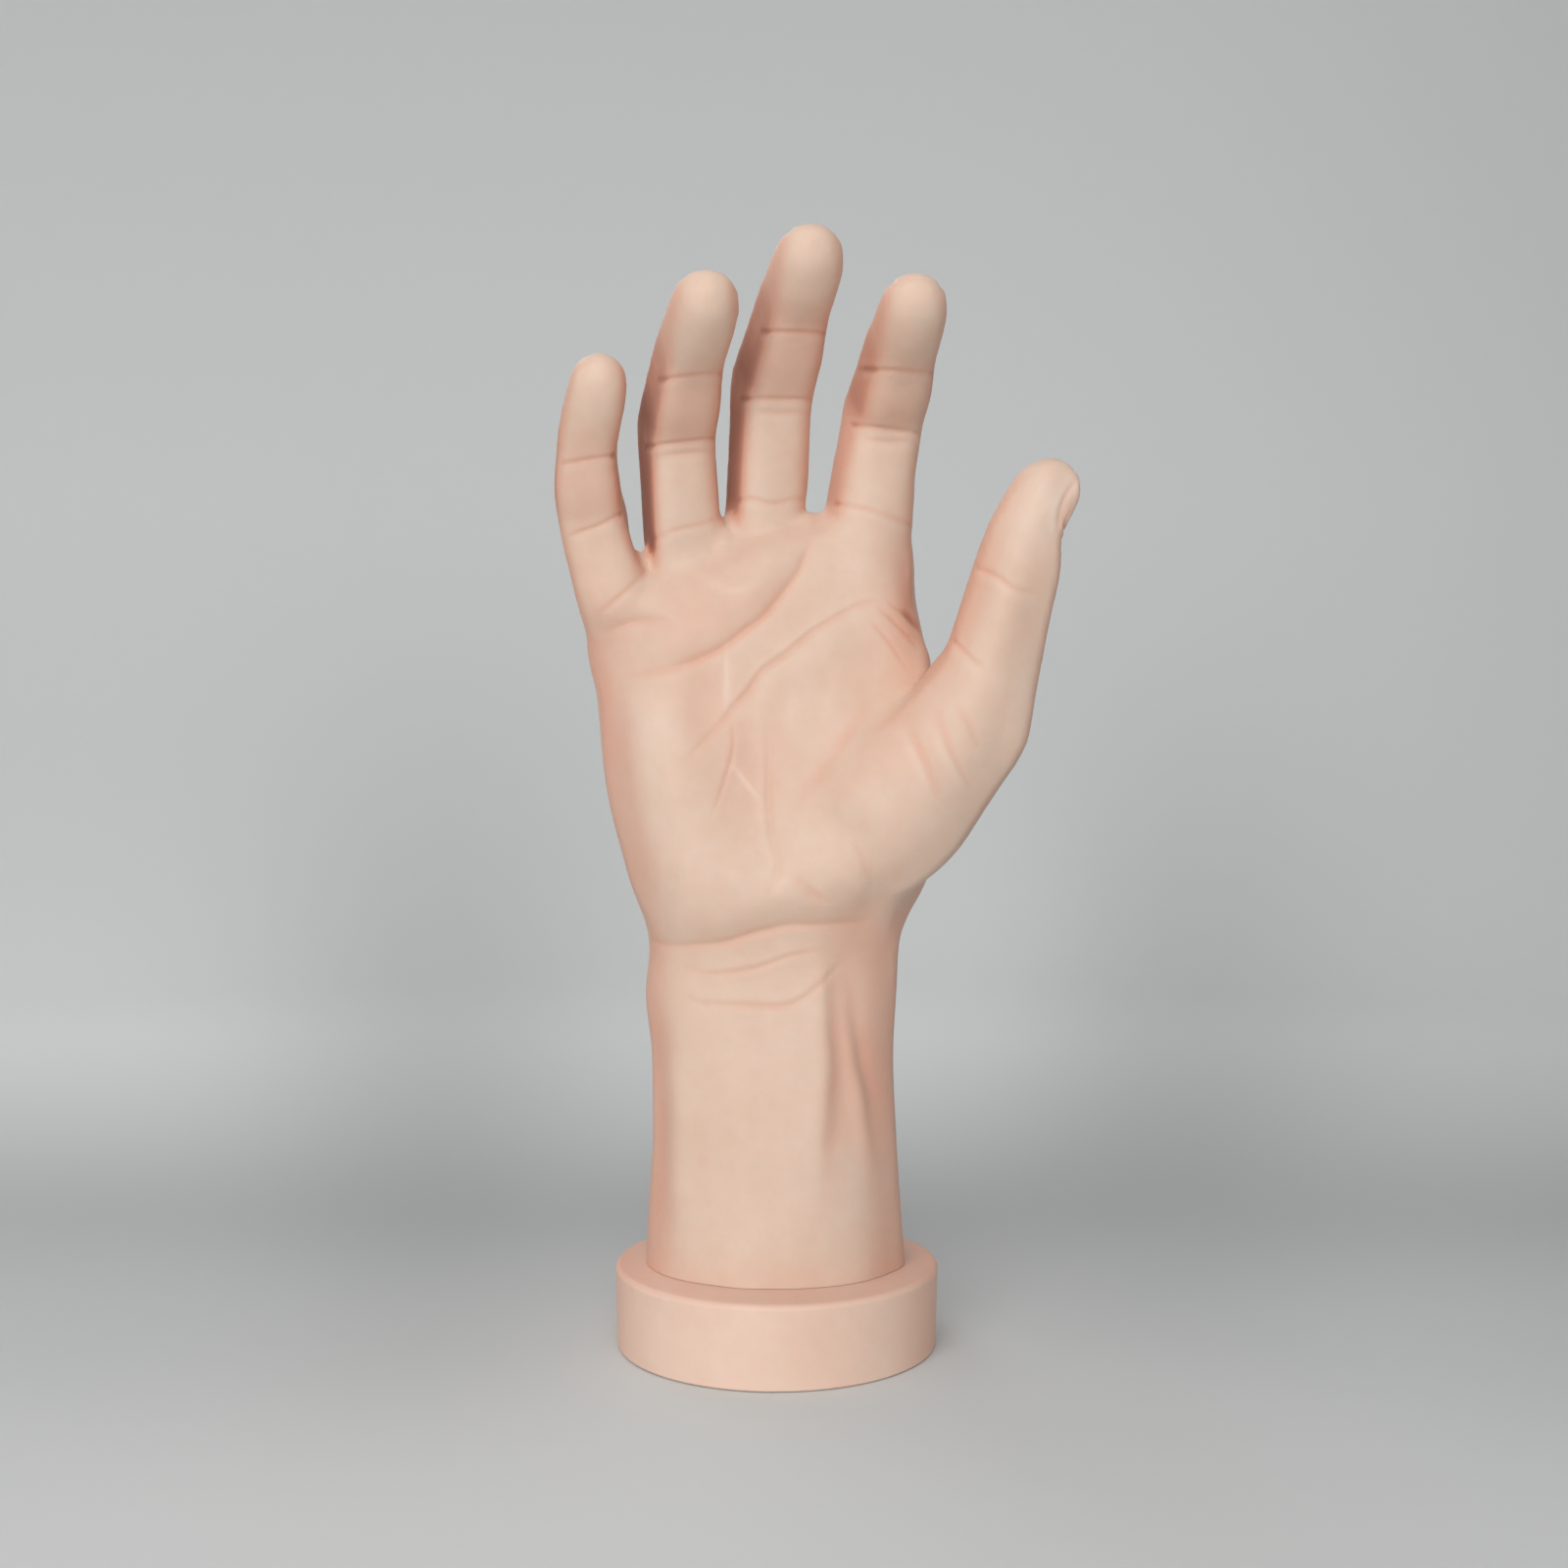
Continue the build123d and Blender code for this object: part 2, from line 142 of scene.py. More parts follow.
vinyl = {
    "pale": colour(230, 205, 187),
    "warm": colour(221, 187, 165),
    # the next four are painted light: the redder painted shade, the darker painted shade, the share from
    # which it deepens, and the paler painted highlight
    "flush": colour(226, 154, 128),
    "deep": colour(158, 104, 86),
    "deepFrom": 0.55,  # share of painted shade at which it starts to deepen into the darker painted shade
    "light": colour(247, 228, 214),
    "basePale": colour(240, 212, 194),
    "baseWarm": colour(234, 198, 178),
    "nail": colour(236, 207, 190),
    "nailTint": 0.6, "nailGloss": 0.2, "nailSmooth": 0.85,  # shares of colour, roughness and grain
    "scatter": (1.0, 0.38, 0.22),  # mm that red, green and blue light spreads under the surface
    "blotch": 34.0, "blotchShare": 0.7,  # so many to the metre, and their share of the warm colour
    "mottle": 238.0, "mottleShare": 0.28, "mottleRough": 0.03,
    "grain": 900.0, "grainDepth": 0.00006, "grainRough": 0.06,  # depth in metres
    "roughness": 0.46,
}
basePaintedShade = {  # painted shade on the base's ledge and at its two sides; the scales bring the ramps' inputs near 1
    "ledgeScale": 40.0, "ledge": (0.8, 0.836), "ledgeShade": 0.22,
    "sideScale": 500.0, "side": (0.4, 0.9), "sideShade": 0.4,
}


def vinylFinish(name, detailed):
    # satin flesh vinyl: slow warm blotches over a pale body, with a fine moulded grain; the hand's colour
    # follows its painted shade, painted highlight and nail attributes, and the base gets painted shade by
    # place
    depth = {"Subsurface_Weight": 0.35, "Subsurface_Scale": 1 / metre, "Subsurface_Radius": vinyl["scatter"]}
    finish = Finish(name, IOR=1.46, Specular_IOR_Level=0.25, **depth)
    slow = finish.noise(vinyl["blotch"], detail=4.0, roughness=0.55)
    quick = finish.noise(vinyl["mottle"], roughness=0.6)
    blotch = finish.ramp(slow, low=0.32, high=0.72)
    mottle = finish.ramp(quick, low=0.3, high=0.75)
    pale, warm = ("pale", "warm") if detailed else ("basePale", "baseWarm")
    warmth = blotch * vinyl["blotchShare"] + mottle * vinyl["mottleShare"]
    body = finish.tint(warmth, vinyl[pale], vinyl[warm])
    grain = finish.noise(vinyl["grain"], detail=4.0, roughness=0.6)
    roughness = vinyl["mottleRough"] * mottle + (vinyl["roughness"] + vinyl["grainRough"] * grain)
    if detailed:
        flush = finish.attribute("flush")
        nail = finish.attribute("nail")
        # painted shade, deepening where it is strong, then painted highlight, then the nails' colour
        body = finish.tint(flush, body, vinyl["flush"])
        body = finish.tint(finish.ramp(flush, low=vinyl["deepFrom"], high=1.0), body, vinyl["deep"])
        body = finish.tint(finish.attribute("light"), body, vinyl["light"])
        body = finish.tint(nail * vinyl["nailTint"], body, vinyl["nail"])
        roughness = roughness - vinyl["nailGloss"] * nail
        grain = grain * (1 - vinyl["nailSmooth"] * nail)
    else:
        # painted shade: redder on the base's ledge and towards its two sides
        height = finish.node("ShaderNodeSeparateXYZ", {}, {"Vector": finish.place}, "Z")
        across = finish.node("ShaderNodeSeparateXYZ", {}, {"Vector": finish.place}, "X")
        ledge = finish.ramp(height * basePaintedShade["ledgeScale"], *basePaintedShade["ledge"])
        side = finish.ramp(across * across * basePaintedShade["sideScale"], *basePaintedShade["side"])
        baseShadeShare = ledge * basePaintedShade["ledgeShade"] + side * basePaintedShade["sideShade"]
        body = finish.tint(baseShadeShare, body, vinyl["flush"])
    finish.drive("Base Color", body)
    finish.drive("Roughness", roughness)
    finish.bump(grain, vinyl["grainDepth"], strength=0.6)
    return finish.material


# The photograph's camera

photo = {
    "side": 1600,  # pixels
    "focal": 1800.0,  # pixels
    "eye": (1.9, -462.0, 145.3),  # mm
}


def seenAt(points):
    # pixel = middle of the frame + focal length times the sideways offset over the depth
    offset = points - np.array(photo["eye"])
    scale = offset[:, 1] / photo["focal"]  # mm per pixel at that depth
    pixels = photo["side"] / 2 + np.stack((offset[:, 0], -offset[:, 2]), 1) / scale[:, None]
    return pixels, scale


# Hand

handShape = {
    "voxel": 1.5,  # mm
    "endSlack": 0.01,  # of the faces that count as the arm's end
    "tail": 6.0,  # that the arm is drawn on below its end, to be cut off again
    "wall": 3.0,
    "recess": 30.0,
    "oval": 1.4,  # square of the arm's width over its depth
    "sharp": 60.0,  # degrees
    "wrist": (0.0, 0.0, 103.1),
    "fitEase": 60.0,  # above the wrist, over which the fit to the CAD's box comes in
    "fitShare": 0.9,  # of that fit, from which a point counts as raised
}
# mm and degrees: leans to the front and sways to the thumb side, bone by bone; turn is about the digit's own
# line, and twist is that of its squarish section; flank is cut off one side, and inset lies between the tip
# and the nail, a length and a width
digits = {
    "index": {
        "knuckle": (20.8, 0.0, 202.5), "bones": (40.0, 24.0, 25.1), "leans": (18.0, 61.0, 67.0),
        "sways": (9.5, 7.0, 7.0), "turn": 0.0, "twist": 12.0, "halfWidth": 9.4, "flank": 0.8,
        "inset": 2.4, "nail": (11.0, 11.5),
    },
    "middle": {
        "knuckle": (-3.6, 2.0, 206.0), "bones": (43.0, 27.0, 25.5), "leans": (20.0, 54.0, 64.0),
        "sways": (3.0, 12.0, 12.3), "turn": 0.0, "twist": 18.0, "halfWidth": 9.6, "flank": 1.3,
        "inset": 3.4, "nail": (11.5, 12.0),
    },
    "ring": {
        "knuckle": (-24.0, 0.0, 196.5), "bones": (41.0, 26.0, 28.0), "leans": (20.0, 56.0, 64.0),
        "sways": (-2.3, 10.0, 14.2), "turn": 0.0, "twist": 18.0, "halfWidth": 9.2, "flank": 1.3,
        "inset": 3.4, "nail": (11.0, 11.5),
    },
    "little": {
        "knuckle": (-39.0, -4.0, 182.6), "bones": (33.0, 20.0, 25.2), "leans": (14.0, 36.0, 40.0),
        "sways": (-15.0, 0.0, 14.8), "turn": 0.0, "twist": 4.0, "halfWidth": 8.2, "flank": 0.0,
        "inset": 2.4, "nail": (9.5, 9.5),
    },
    "thumb": {
        "knuckle": (12.0, -6.0, 112.3), "bones": (66.0, 32.0, 12.5, 21.4), "leans": (17.0, 11.0, 9.0, 9.0),
        "sways": (36.5, 14.0, 11.0, 25.0), "turn": -68.0, "twist": 0.0, "halfWidth": 10.8, "flank": 0.0,
        "inset": 2.2, "nail": (14.0, 14.5),
    },
}
digitLine = {  # mm
    "start": -10.0,  # from the knuckle
    "beyond": 4.0,  # past the end of the last bone
    "steps": 160,
    "bend": 7.0,  # of bone on each side of a joint that bends
    "margin": 30.0,  # round the line in which points are looked at
    "far": 500.0,  # given for the points outside it
}


def unit(rows):
    # each row at length 1
    return rows / np.linalg.norm(rows, axis=-1, keepdims=True)


def awayFrom(points, place):
    # distance of each point from one place
    return np.linalg.norm(points - np.array(place), axis=1)


def smoothStep(low, high, values):
    # 0 below low, 1 above high, with flat ends between; it falls instead where high is below low
    t = np.clip((values - low) / (high - low), 0, 1)
    return t * t * (3 - 2 * t)


def span(values, rise, fall):
    # climbs from 0 to 1 over the pair rise, and drops back to 0 over the pair fall
    return smoothStep(*rise, values) * smoothStep(*fall, values)


def hump(values, width):
    # bell curve of height 1
    return np.exp(-((values / width) ** 2))


def centreLine(digit):
    # points, tangents and the across and back directions along a digit; each joint is a parabola between
    # two bones
    lean = np.radians(digit["leans"])
    sway = np.radians(digit["sways"])
    bones = np.array(digit["bones"])
    bend = digitLine["bend"]
    directions = np.stack((np.sin(sway), -np.sin(lean) * np.cos(sway), np.cos(lean) * np.cos(sway)), 1)
    places = np.linspace(digitLine["start"], bones.sum() + digitLine["beyond"], digitLine["steps"])
    joint = np.array(digit["knuckle"])
    reached = 0.0
    points = joint + places[:, None] * directions[0]
    tangents = np.repeat(directions[:1], len(places), 0)
    for before, after, length in zip(directions, directions[1:], bones):
        joint = joint + before * length
        reached += length
        beyond = places - reached
        fall = (bend - beyond) ** 2 / (4 * bend)
        climb = (bend + beyond) ** 2 / (4 * bend)
        bent = joint - before * fall[:, None] + after * climb[:, None]
        turning = unit(before * (bend - beyond)[:, None] + after * (bend + beyond)[:, None])
        inBend = (np.abs(beyond) <= bend)[:, None]
        past = (beyond > bend)[:, None]
        points = np.where(past, joint + after * beyond[:, None], np.where(inBend, bent, points))
        tangents = np.where(past, after, np.where(inBend, turning, tangents))
    across = unit(np.array([1.0, 0.0, 0.0]) - tangents * tangents[:, :1])
    back = np.cross(tangents, across)
    turn = math.radians(digit["turn"])
    across, back = (
        across * math.cos(turn) + back * math.sin(turn),
        back * math.cos(turn) - across * math.sin(turn),
    )
    return places, points, tangents, across, back


def digitPlaces(points, digit):
    # for every point: how far along the digit, across it and to its back it lies, and its distance from the
    # centre line
    places, line, tangents, across, back = centreLine(digit)
    margin = digitLine["margin"]
    around = ((points > line.min(0) - margin) & (points < line.max(0) + margin)).all(1)
    close = points[around]
    apart = (close**2).sum(1)[:, None] + (line**2).sum(1)[None] - 2 * close @ line.T
    nearest = apart.argmin(1)
    offset = close - line[nearest]
    found = {name: np.full(len(points), digitLine["far"]) for name in ("along", "across", "back", "reach")}
    found["along"][around] = places[nearest] + (offset * tangents[nearest]).sum(1)
    found["across"][around] = (offset * across[nearest]).sum(1)
    found["back"][around] = (offset * back[nearest]).sum(1)
    found["reach"][around] = np.linalg.norm(offset, axis=1)
    return found


def islandOf(count, edges, seed):
    # marks the vertices joined to seed: the least number spreads along the edges until nothing changes
    labels = np.arange(count)
    while True:
        least = np.minimum(labels[edges[:, 0]], labels[edges[:, 1]])
        spread = labels.copy()
        np.minimum.at(spread, edges[:, 0], least)
        np.minimum.at(spread, edges[:, 1], least)
        spread = spread[spread]
        if (spread == labels).all():
            return labels == labels[seed]
        labels = spread


def readArray(items, name, size, kind):
    # one property of a mesh's points, edges or triangles, a row for each
    flat = np.empty(len(items) * size, kind)
    items.foreach_get(name, flat)
    return flat.reshape(-1, size)


closeGap = {  # between the ring and middle fingers, mm
    "x": -14.0, "reach": 5.0, "part": 0.6, "rise": (208.0, 213.0), "fall": (240.0, 232.0),
}


def partFingers(x, z):
    # sideways shift that opens the narrowest gap by a hair, so that remeshing doesn't close it
    aside = x - closeGap["x"]
    share = span(z, closeGap["rise"], closeGap["fall"])
    return closeGap["part"] * np.sign(aside) * hump(aside, closeGap["reach"]) * share


def openEdges(mesh):
    # edges with a face on one side only
    return [e for e in mesh.edges if e.is_boundary]


def drawRim(mesh, rim):
    # faces out of an open rim: the new points, still in their old places, and the new rim
    drawn = bmesh.ops.extrude_edge_only(mesh, edges=rim)["geom"]
    points = [g for g in drawn if isinstance(g, bmesh.types.BMVert)]
    return points, [g for g in drawn if isinstance(g, bmesh.types.BMEdge)]


def outerSkin(node):
    # closed outer surface of the moulding: its inner wall is dropped, and the arm's end drawn down and closed
    mesh = bmesh.new()
    mesh.from_mesh(node.data)
    bmesh.ops.remove_doubles(mesh, verts=mesh.verts, dist=2e-6)
    low = min(v.co.z for v in mesh.verts)
    level = low + handShape["endSlack"] / metre
    endFaces = [f for f in mesh.faces if max(v.co.z for v in f.verts) < level]
    bmesh.ops.delete(mesh, geom=endFaces, context="FACES_ONLY")
    mesh.verts.ensure_lookup_table()
    mesh.verts.index_update()
    edges = np.array([(e.verts[0].index, e.verts[1].index) for e in mesh.edges])
    top = max(mesh.verts, key=lambda v: v.co.z).index
    kept = islandOf(len(mesh.verts), edges, top)
    bmesh.ops.delete(mesh, geom=[v for v in mesh.verts if not kept[v.index]], context="VERTS")
    ends = drawRim(mesh, openEdges(mesh))[0]
    bmesh.ops.translate(mesh, verts=ends, vec=(0, 0, -handShape["tail"] / metre))
    bmesh.ops.holes_fill(mesh, edges=openEdges(mesh))
    bmesh.ops.recalc_face_normals(mesh, faces=mesh.faces)
    skin = bpy.data.meshes.new("handSkin")
    mesh.to_mesh(skin)
    mesh.free()
    places = readArray(skin.vertices, "co", 3, float)
    places[:, 0] += partFingers(places[:, 0] * metre, places[:, 2] * metre) / metre
    skin.vertices.foreach_set("co", places.ravel())
    return skin, low * metre


def remeshed(skin, voxel):
    # even quads over the closed surface
    holder = bpy.data.objects.new("handHolder", skin)
    bpy.context.scene.collection.objects.link(holder)
    even = holder.modifiers.new("even", "REMESH")
    even.mode = "VOXEL"
    even.voxel_size = voxel / metre
    graph = bpy.context.evaluated_depsgraph_get()
    made = bpy.data.meshes.new_from_object(holder.evaluated_get(graph))
    bpy.data.objects.remove(holder)
    return made


smoothing = {"inwards": 0.5, "outwards": 0.52, "fill": 0.9, "fillTurn": 6}  # shares of a step; rounds


class Skin:
    # the hand's vertices in mm, with what smoothing and moulding need
    def __init__(self, mesh):
        self.mesh = mesh
        count = len(mesh.vertices)
        self.points = readArray(mesh.vertices, "co", 3, float) * metre
        pairs = readArray(mesh.edges, "vertices", 2, np.int32)
        self.near = np.concatenate((pairs[:, 0], pairs[:, 1]))
        self.far = np.concatenate((pairs[:, 1], pairs[:, 0]))
        self.links = np.bincount(self.near, minlength=count)
        mesh.calc_loop_triangles()
        self.corners = readArray(mesh.loop_triangles, "vertices", 3, np.int32)
        # shares of painted shade, painted highlight and nail colour
        self.flush = np.zeros(count)
        self.light = np.zeros(count)
        self.nail = np.zeros(count)

    def gather(self, rows, index):
        # sum of the rows that share an index
        return np.stack([np.bincount(index, rows[:, k], len(self.points)) for k in range(3)], 1)

    def pull(self):
        # from each point to the middle of its neighbours
        return self.gather(self.points[self.far], self.near) / self.links[:, None] - self.points

    def normals(self):
        # sum of the crossed sides of the triangles round each point, with a trace so that none is 0
        a, b, c = (self.points[self.corners[:, k]] for k in range(3))
        crossed = np.cross(b - a, c - a)
        return unit(self.gather(np.repeat(crossed, 3, 0), self.corners.ravel()) + 1e-12)

    def even(self, rounds):
        # smooths without shrinking: a step in, then a slightly longer step out
        for _ in range(rounds):
            self.points += smoothing["inwards"] * self.pull()
            self.points -= smoothing["outwards"] * self.pull()

    def melt(self, rounds, share):
        # plain smoothing where share is above 0
        for _ in range(rounds):
            self.points += smoothing["inwards"] * self.pull() * share[:, None]

    def fill(self, rounds, share):
        # rounds out hollow corners only: a point moves outwards to the middle of its neighbours, never
        # inwards; the outward directions are worked out again every few rounds
        for step in range(rounds):
            if step % smoothing["fillTurn"] == 0:
                out = self.normals()
            rise = np.maximum((self.pull() * out).sum(1), 0)
            self.points += out * (smoothing["fill"] * rise * share)[:, None]

    def push(self, height):
        # moves each point out along its normal
        self.points += self.normals() * height[:, None]

    def store(self):
        # puts the points back into the mesh, in metres
        self.mesh.vertices.foreach_set("co", (self.points / metre).ravel())
        self.mesh.update()

    def paint(self):
        # keeps the shares of painted shade, painted highlight and nail colour with the points
        for name, values in (("flush", self.flush), ("light", self.light), ("nail", self.nail)):
            layer = self.mesh.attributes.get(name) or self.mesh.attributes.new(name, "FLOAT", "POINT")
            layer.data.foreach_set("value", np.clip(values, 0, 1).astype(np.float32))


def refined(skin, wanted):
    # splits every face that touches a wanted point in four; the painted shade so far is carried along
    skin.store()
    skin.paint()
    mesh = bmesh.new()
    mesh.from_mesh(skin.mesh)
    mesh.verts.ensure_lookup_table()
    chosen = {e for k in np.flatnonzero(wanted) for f in mesh.verts[k].link_faces for e in f.edges}
    bmesh.ops.subdivide_edges(mesh, edges=list(chosen), cuts=1, use_grid_fill=True)
    bmesh.ops.triangulate(mesh, faces=[f for f in mesh.faces if len(f.verts) > 4])
    mesh.to_mesh(skin.mesh)
    mesh.free()
    finer = Skin(skin.mesh)
    finer.flush = readArray(skin.mesh.attributes["flush"].data, "value", 1, np.float32).ravel().astype(float)
    return finer


# Lines of the palm side

lineForm = {
    "steps": 30,  # points of a path
    "margin": 220.0,  # pixels round a path that its line can reach
    "phase": (0.7, 0.3),  # shares of the start's two coordinates
    "waves": ((0.9, 22.0, 1), (0.5, 9.0, 2)),  # height, pixels for each radian, times the phase
    "stiffness": 200.0,
    "facing": (0.12, 0.5),
    "fine": 1.0,  # mm; a narrower line is a fine one
    "fineFade": 0.6,  # power of the fade towards both ends
    "broadFade": 1.3,
    "bankHollowShade": 0.16,  # share of painted shade for each mm that a bank is hollow
}
lineBells = {  # place and width of the bell curves across a line, in widths of the line
    "groove": (0.0, 1.0), "lip": (2.1, 1.3), "flush": (0.0, 1.5), "light": (0.0, 1.2), "lipLight": (2.4, 1.8),
}


def wander(path):
    # takes a drawn curve's stiffness away: small waves across it, set by where it starts
    place = np.linspace(0, 1, len(path))
    phase = (path[0] * lineForm["phase"]).sum()
    along = unit(np.gradient(path, axis=0))
    length = np.linalg.norm(np.diff(path, axis=0), axis=1).sum()
    waves = [high * np.sin(length / step * place + times * phase) for high, step, times in lineForm["waves"]]
    sway = sum(waves) * length / lineForm["stiffness"]
    return path + np.stack((-along[:, 1], along[:, 0]), 1) * sway[:, None]


def smoothPath(points, count):
    # curve through the points with slopes taken from their neighbours, at even steps of its parameter
    marks = np.array(points, float)
    before = np.vstack((2 * marks[:1] - marks[1:2], marks[:-1]))
    after = np.vstack((marks[1:], 2 * marks[-1:] - marks[-2:-1]))
    slopes = (after - before) / 2
    at = np.linspace(0, len(marks) - 1, count)
    k = np.minimum(at.astype(int), len(marks) - 2)
    t = (at - k)[:, None]
    return (
        (2 * t**3 - 3 * t**2 + 1) * marks[k]
        + (t**3 - 2 * t**2 + t) * slopes[k]
        + (3 * t**2 - 2 * t**3) * marks[k + 1]
        + (t**3 - t**2) * slopes[k + 1]
    )


def pathDistance(spots, path):
    # distance of each spot from a path, its side (1 on the left of travel, else -1), and its place along it
    # from 0 to 1
    steps = path[1:] - path[:-1]
    lengths = (steps**2).sum(1)
    best = np.full(len(spots), np.inf)
    side = np.ones(len(spots))
    place = np.zeros(len(spots))
    for i, (start, step, length) in enumerate(zip(path, steps, lengths)):
        offset = spots - start
        t = np.clip(offset @ step / length, 0, 1)
        apart = np.linalg.norm(offset - t[:, None] * step, axis=1)
        nearer = apart < best
        best[nearer] = apart[nearer]
        side[nearer] = np.sign(step[1] * offset[nearer, 0] - step[0] * offset[nearer, 1])
        place[nearer] = (i + t[nearer]) / len(steps)
    return best, side, place


# lines that the camera sees, in pixels of the photograph: wide, deep and lip are mm; the share of the redder
# colour is painted shade in the line, and light a painted highlight of the paler colour; lipLight is painted
# highlight on the right of travel, and a bank (height and reach in mm) swells on the left of it
palmLines = {
    "heartLine": {
        "points": [(634, 694), (674, 684), (714, 671), (751, 651), (778, 630), (802, 600), (821, 568),
                   (832, 542)],
        "wide": 0.9, "deep": 0.4, "lip": 0.1, "flush": 0.32, "lipLight": 0.12, "bank": (1.6, 7.0),
    },
    "headLine": {
        "points": [(905, 608), (875, 619), (848, 633), (821, 651), (794, 670), (776, 686), (762, 707),
                   (745, 727), (722, 750), (698, 777)],
        "wide": 0.7, "deep": 0.28, "lip": 0.08, "flush": 0.28, "lipLight": 0.1, "bank": (0.8, 5.0),
    },
    "thumbFold": {
        "points": [(898, 703), (880, 724), (861, 755), (842, 785), (826, 808), (814, 822)],
        "wide": 1.1, "deep": 0.35, "lip": 0.08, "flush": 0.26, "bank": (2.0, 9.0),
    },
    "middleCrease": {
        "points": [(782, 745), (784, 790), (785, 830), (789, 860), (793, 883), (782, 918)],
        "wide": 0.8, "deep": 0.2, "lip": 0.06, "flush": 0.14, "lipLight": 0.15, "bank": (1.0, 5.0),
    },
    "heelValley": {"points": [(790, 835), (790, 870), (786, 915)], "wide": 4.5, "deep": 0.9},
    # the pale lines are painted highlights where ridges and streaks catch the light
    "paleRidge": {
        "points": [(741, 655), (742, 690), (743, 727)],
        "wide": 0.9, "deep": -0.3, "light": 0.32, "bank": (0.5, 3.0),
    },
    "paleSlant": {
        "points": [(747, 777), (762, 798), (783, 824)],
        "wide": 0.8, "deep": -0.2, "light": 0.28,
    },
    "paleStreakA": {
        "points": [(788, 676), (773, 731), (780, 817)],
        "wide": 1.8, "deep": -0.12, "light": 0.16,
    },
    "paleStreakB": {
        "points": [(816, 690), (808, 725), (806, 765)],
        "wide": 1.4, "deep": -0.1, "light": 0.14,
    },
    "paleStreakC": {
        "points": [(856, 672), (848, 705), (836, 745)],
        "wide": 1.4, "deep": -0.1, "light": 0.12,
    },
    "palePatch": {"points": [(650, 690), (668, 725), (668, 775)], "wide": 6.0, "deep": -0.2, "light": 0.2},
    "darkSlant": {
        "points": [(748, 738), (747, 765), (739, 800), (727, 832)],
        "wide": 0.6, "deep": 0.18, "lip": 0.06, "flush": 0.2,
    },
    "paleArc": {
        "points": [(681, 572), (721, 591), (748, 603), (764, 600), (790, 588)],
        "wide": 1.0, "deep": -0.2, "light": 0.25,
    },
    "littleFold": {
        "points": [(614, 647), (643, 635), (664, 634), (686, 636)],
        "wide": 0.9, "deep": 0.2, "lip": 0.05, "flush": 0.2, "bank": (0.9, 5.0),
    },
    "webLineA": {
        "points": [(893, 617), (915, 636), (938, 662)],
        "wide": 0.6, "deep": 0.2, "lip": 0.07, "flush": 0.28,
    },
    "webLineB": {
        "points": [(905, 612), (925, 628), (944, 648)],
        "wide": 0.6, "deep": 0.18, "lip": 0.07, "flush": 0.26,
    },
    "webLineC": {
        "points": [(884, 628), (905, 652), (926, 682)],
        "wide": 0.6, "deep": 0.16, "lip": 0.06, "flush": 0.2,
    },
    "ballLineA": {
        "points": [(927, 738), (943, 774), (959, 812)],
        "wide": 0.8, "deep": 0.25, "lip": 0.08, "flush": 0.24, "lipLight": 0.2,
    },
    "ballLineB": {
        "points": [(952, 724), (970, 764), (992, 804)],
        "wide": 0.8, "deep": 0.22, "lip": 0.08, "flush": 0.22, "lipLight": 0.15,
    },
    "ballLineC": {
        "points": [(976, 716), (989, 738), (1000, 761)],
        "wide": 0.8, "deep": 0.2, "lip": 0.07, "flush": 0.18,
    },
    "heelLineA": {
        "points": [(809, 893), (828, 908), (849, 920)],
        "wide": 0.9, "deep": 0.2, "lip": 0.06, "flush": 0.22, "bank": (0.4, 5.0),
    },
    "heelLineB": {
        "points": [(868, 858), (879, 878), (890, 897)],
        "wide": 0.8, "deep": 0.18, "lip": 0.06, "flush": 0.16,
    },
    "wristLineA": {
        "points": [(640, 954), (684, 964), (722, 963), (753, 959), (784, 949), (809, 944), (855, 942),
                   (885, 944)],
        "wide": 0.9, "deep": 0.4, "lip": 0.1, "flush": 0.26, "bank": (2.4, 8.0),
    },
    "wristLineB": {
        "points": [(697, 990), (733, 993), (773, 987), (809, 976), (845, 968)],
        "wide": 0.7, "deep": 0.26, "lip": 0.1, "flush": 0.2,
    },
    "wristLineC": {
        "points": [(697, 1013), (715, 1023), (753, 1025), (799, 1028), (819, 1019), (842, 1000), (858, 982)],
        "wide": 0.8, "deep": 0.28, "lip": 0.12, "flush": 0.2,
    },
    "tendonEdge": {
        "points": [(832, 958), (837, 995), (840, 1040), (840, 1100), (836, 1170), (828, 1260)],
        "wide": 3.2, "deep": -0.6, "light": 0.1, "bank": (-1.7, 5.5),
    },
    "tendonShade": {
        "points": [(842, 985), (848, 1040), (849, 1100), (846, 1170), (840, 1240)],
        "wide": 1.8, "deep": 0.0, "flush": 0.3,
    },
    "tendonTwin": {
        "points": [(858, 985), (866, 1040), (873, 1090), (882, 1150), (890, 1220)],
        "wide": 2.0, "deep": -0.9,
    },
    "sideGroove": {
        "points": [(862, 975), (874, 1030), (884, 1085), (893, 1140), (900, 1200)],
        "wide": 2.2, "deep": 0.7, "flush": 0.16,
    },
    "outerEdge": {
        "points": [(700, 1300), (694, 1200), (692, 1100), (696, 990)],
        "wide": 3.4, "deep": -0.5, "light": 0.1, "bank": (-1.1, 8.0),
    },
    "indexNailEdge": {
        "points": [(902, 296), (915, 288), (932, 284), (952, 285)],
        "wide": 0.5, "deep": 0.16, "flush": 0.14,
    },
    "littleNailEdge": {
        "points": [(580, 392), (586, 380), (595, 371), (610, 367)],
        "wide": 0.5, "deep": 0.18, "flush": 0.16,
    },
    "thumbNailSide": {
        "points": [(1101, 485), (1091, 500), (1084, 516), (1081, 533), (1083, 550)],
        "wide": 0.7, "deep": 0.3, "flush": 0.14, "lipLight": 0.3,
    },
}
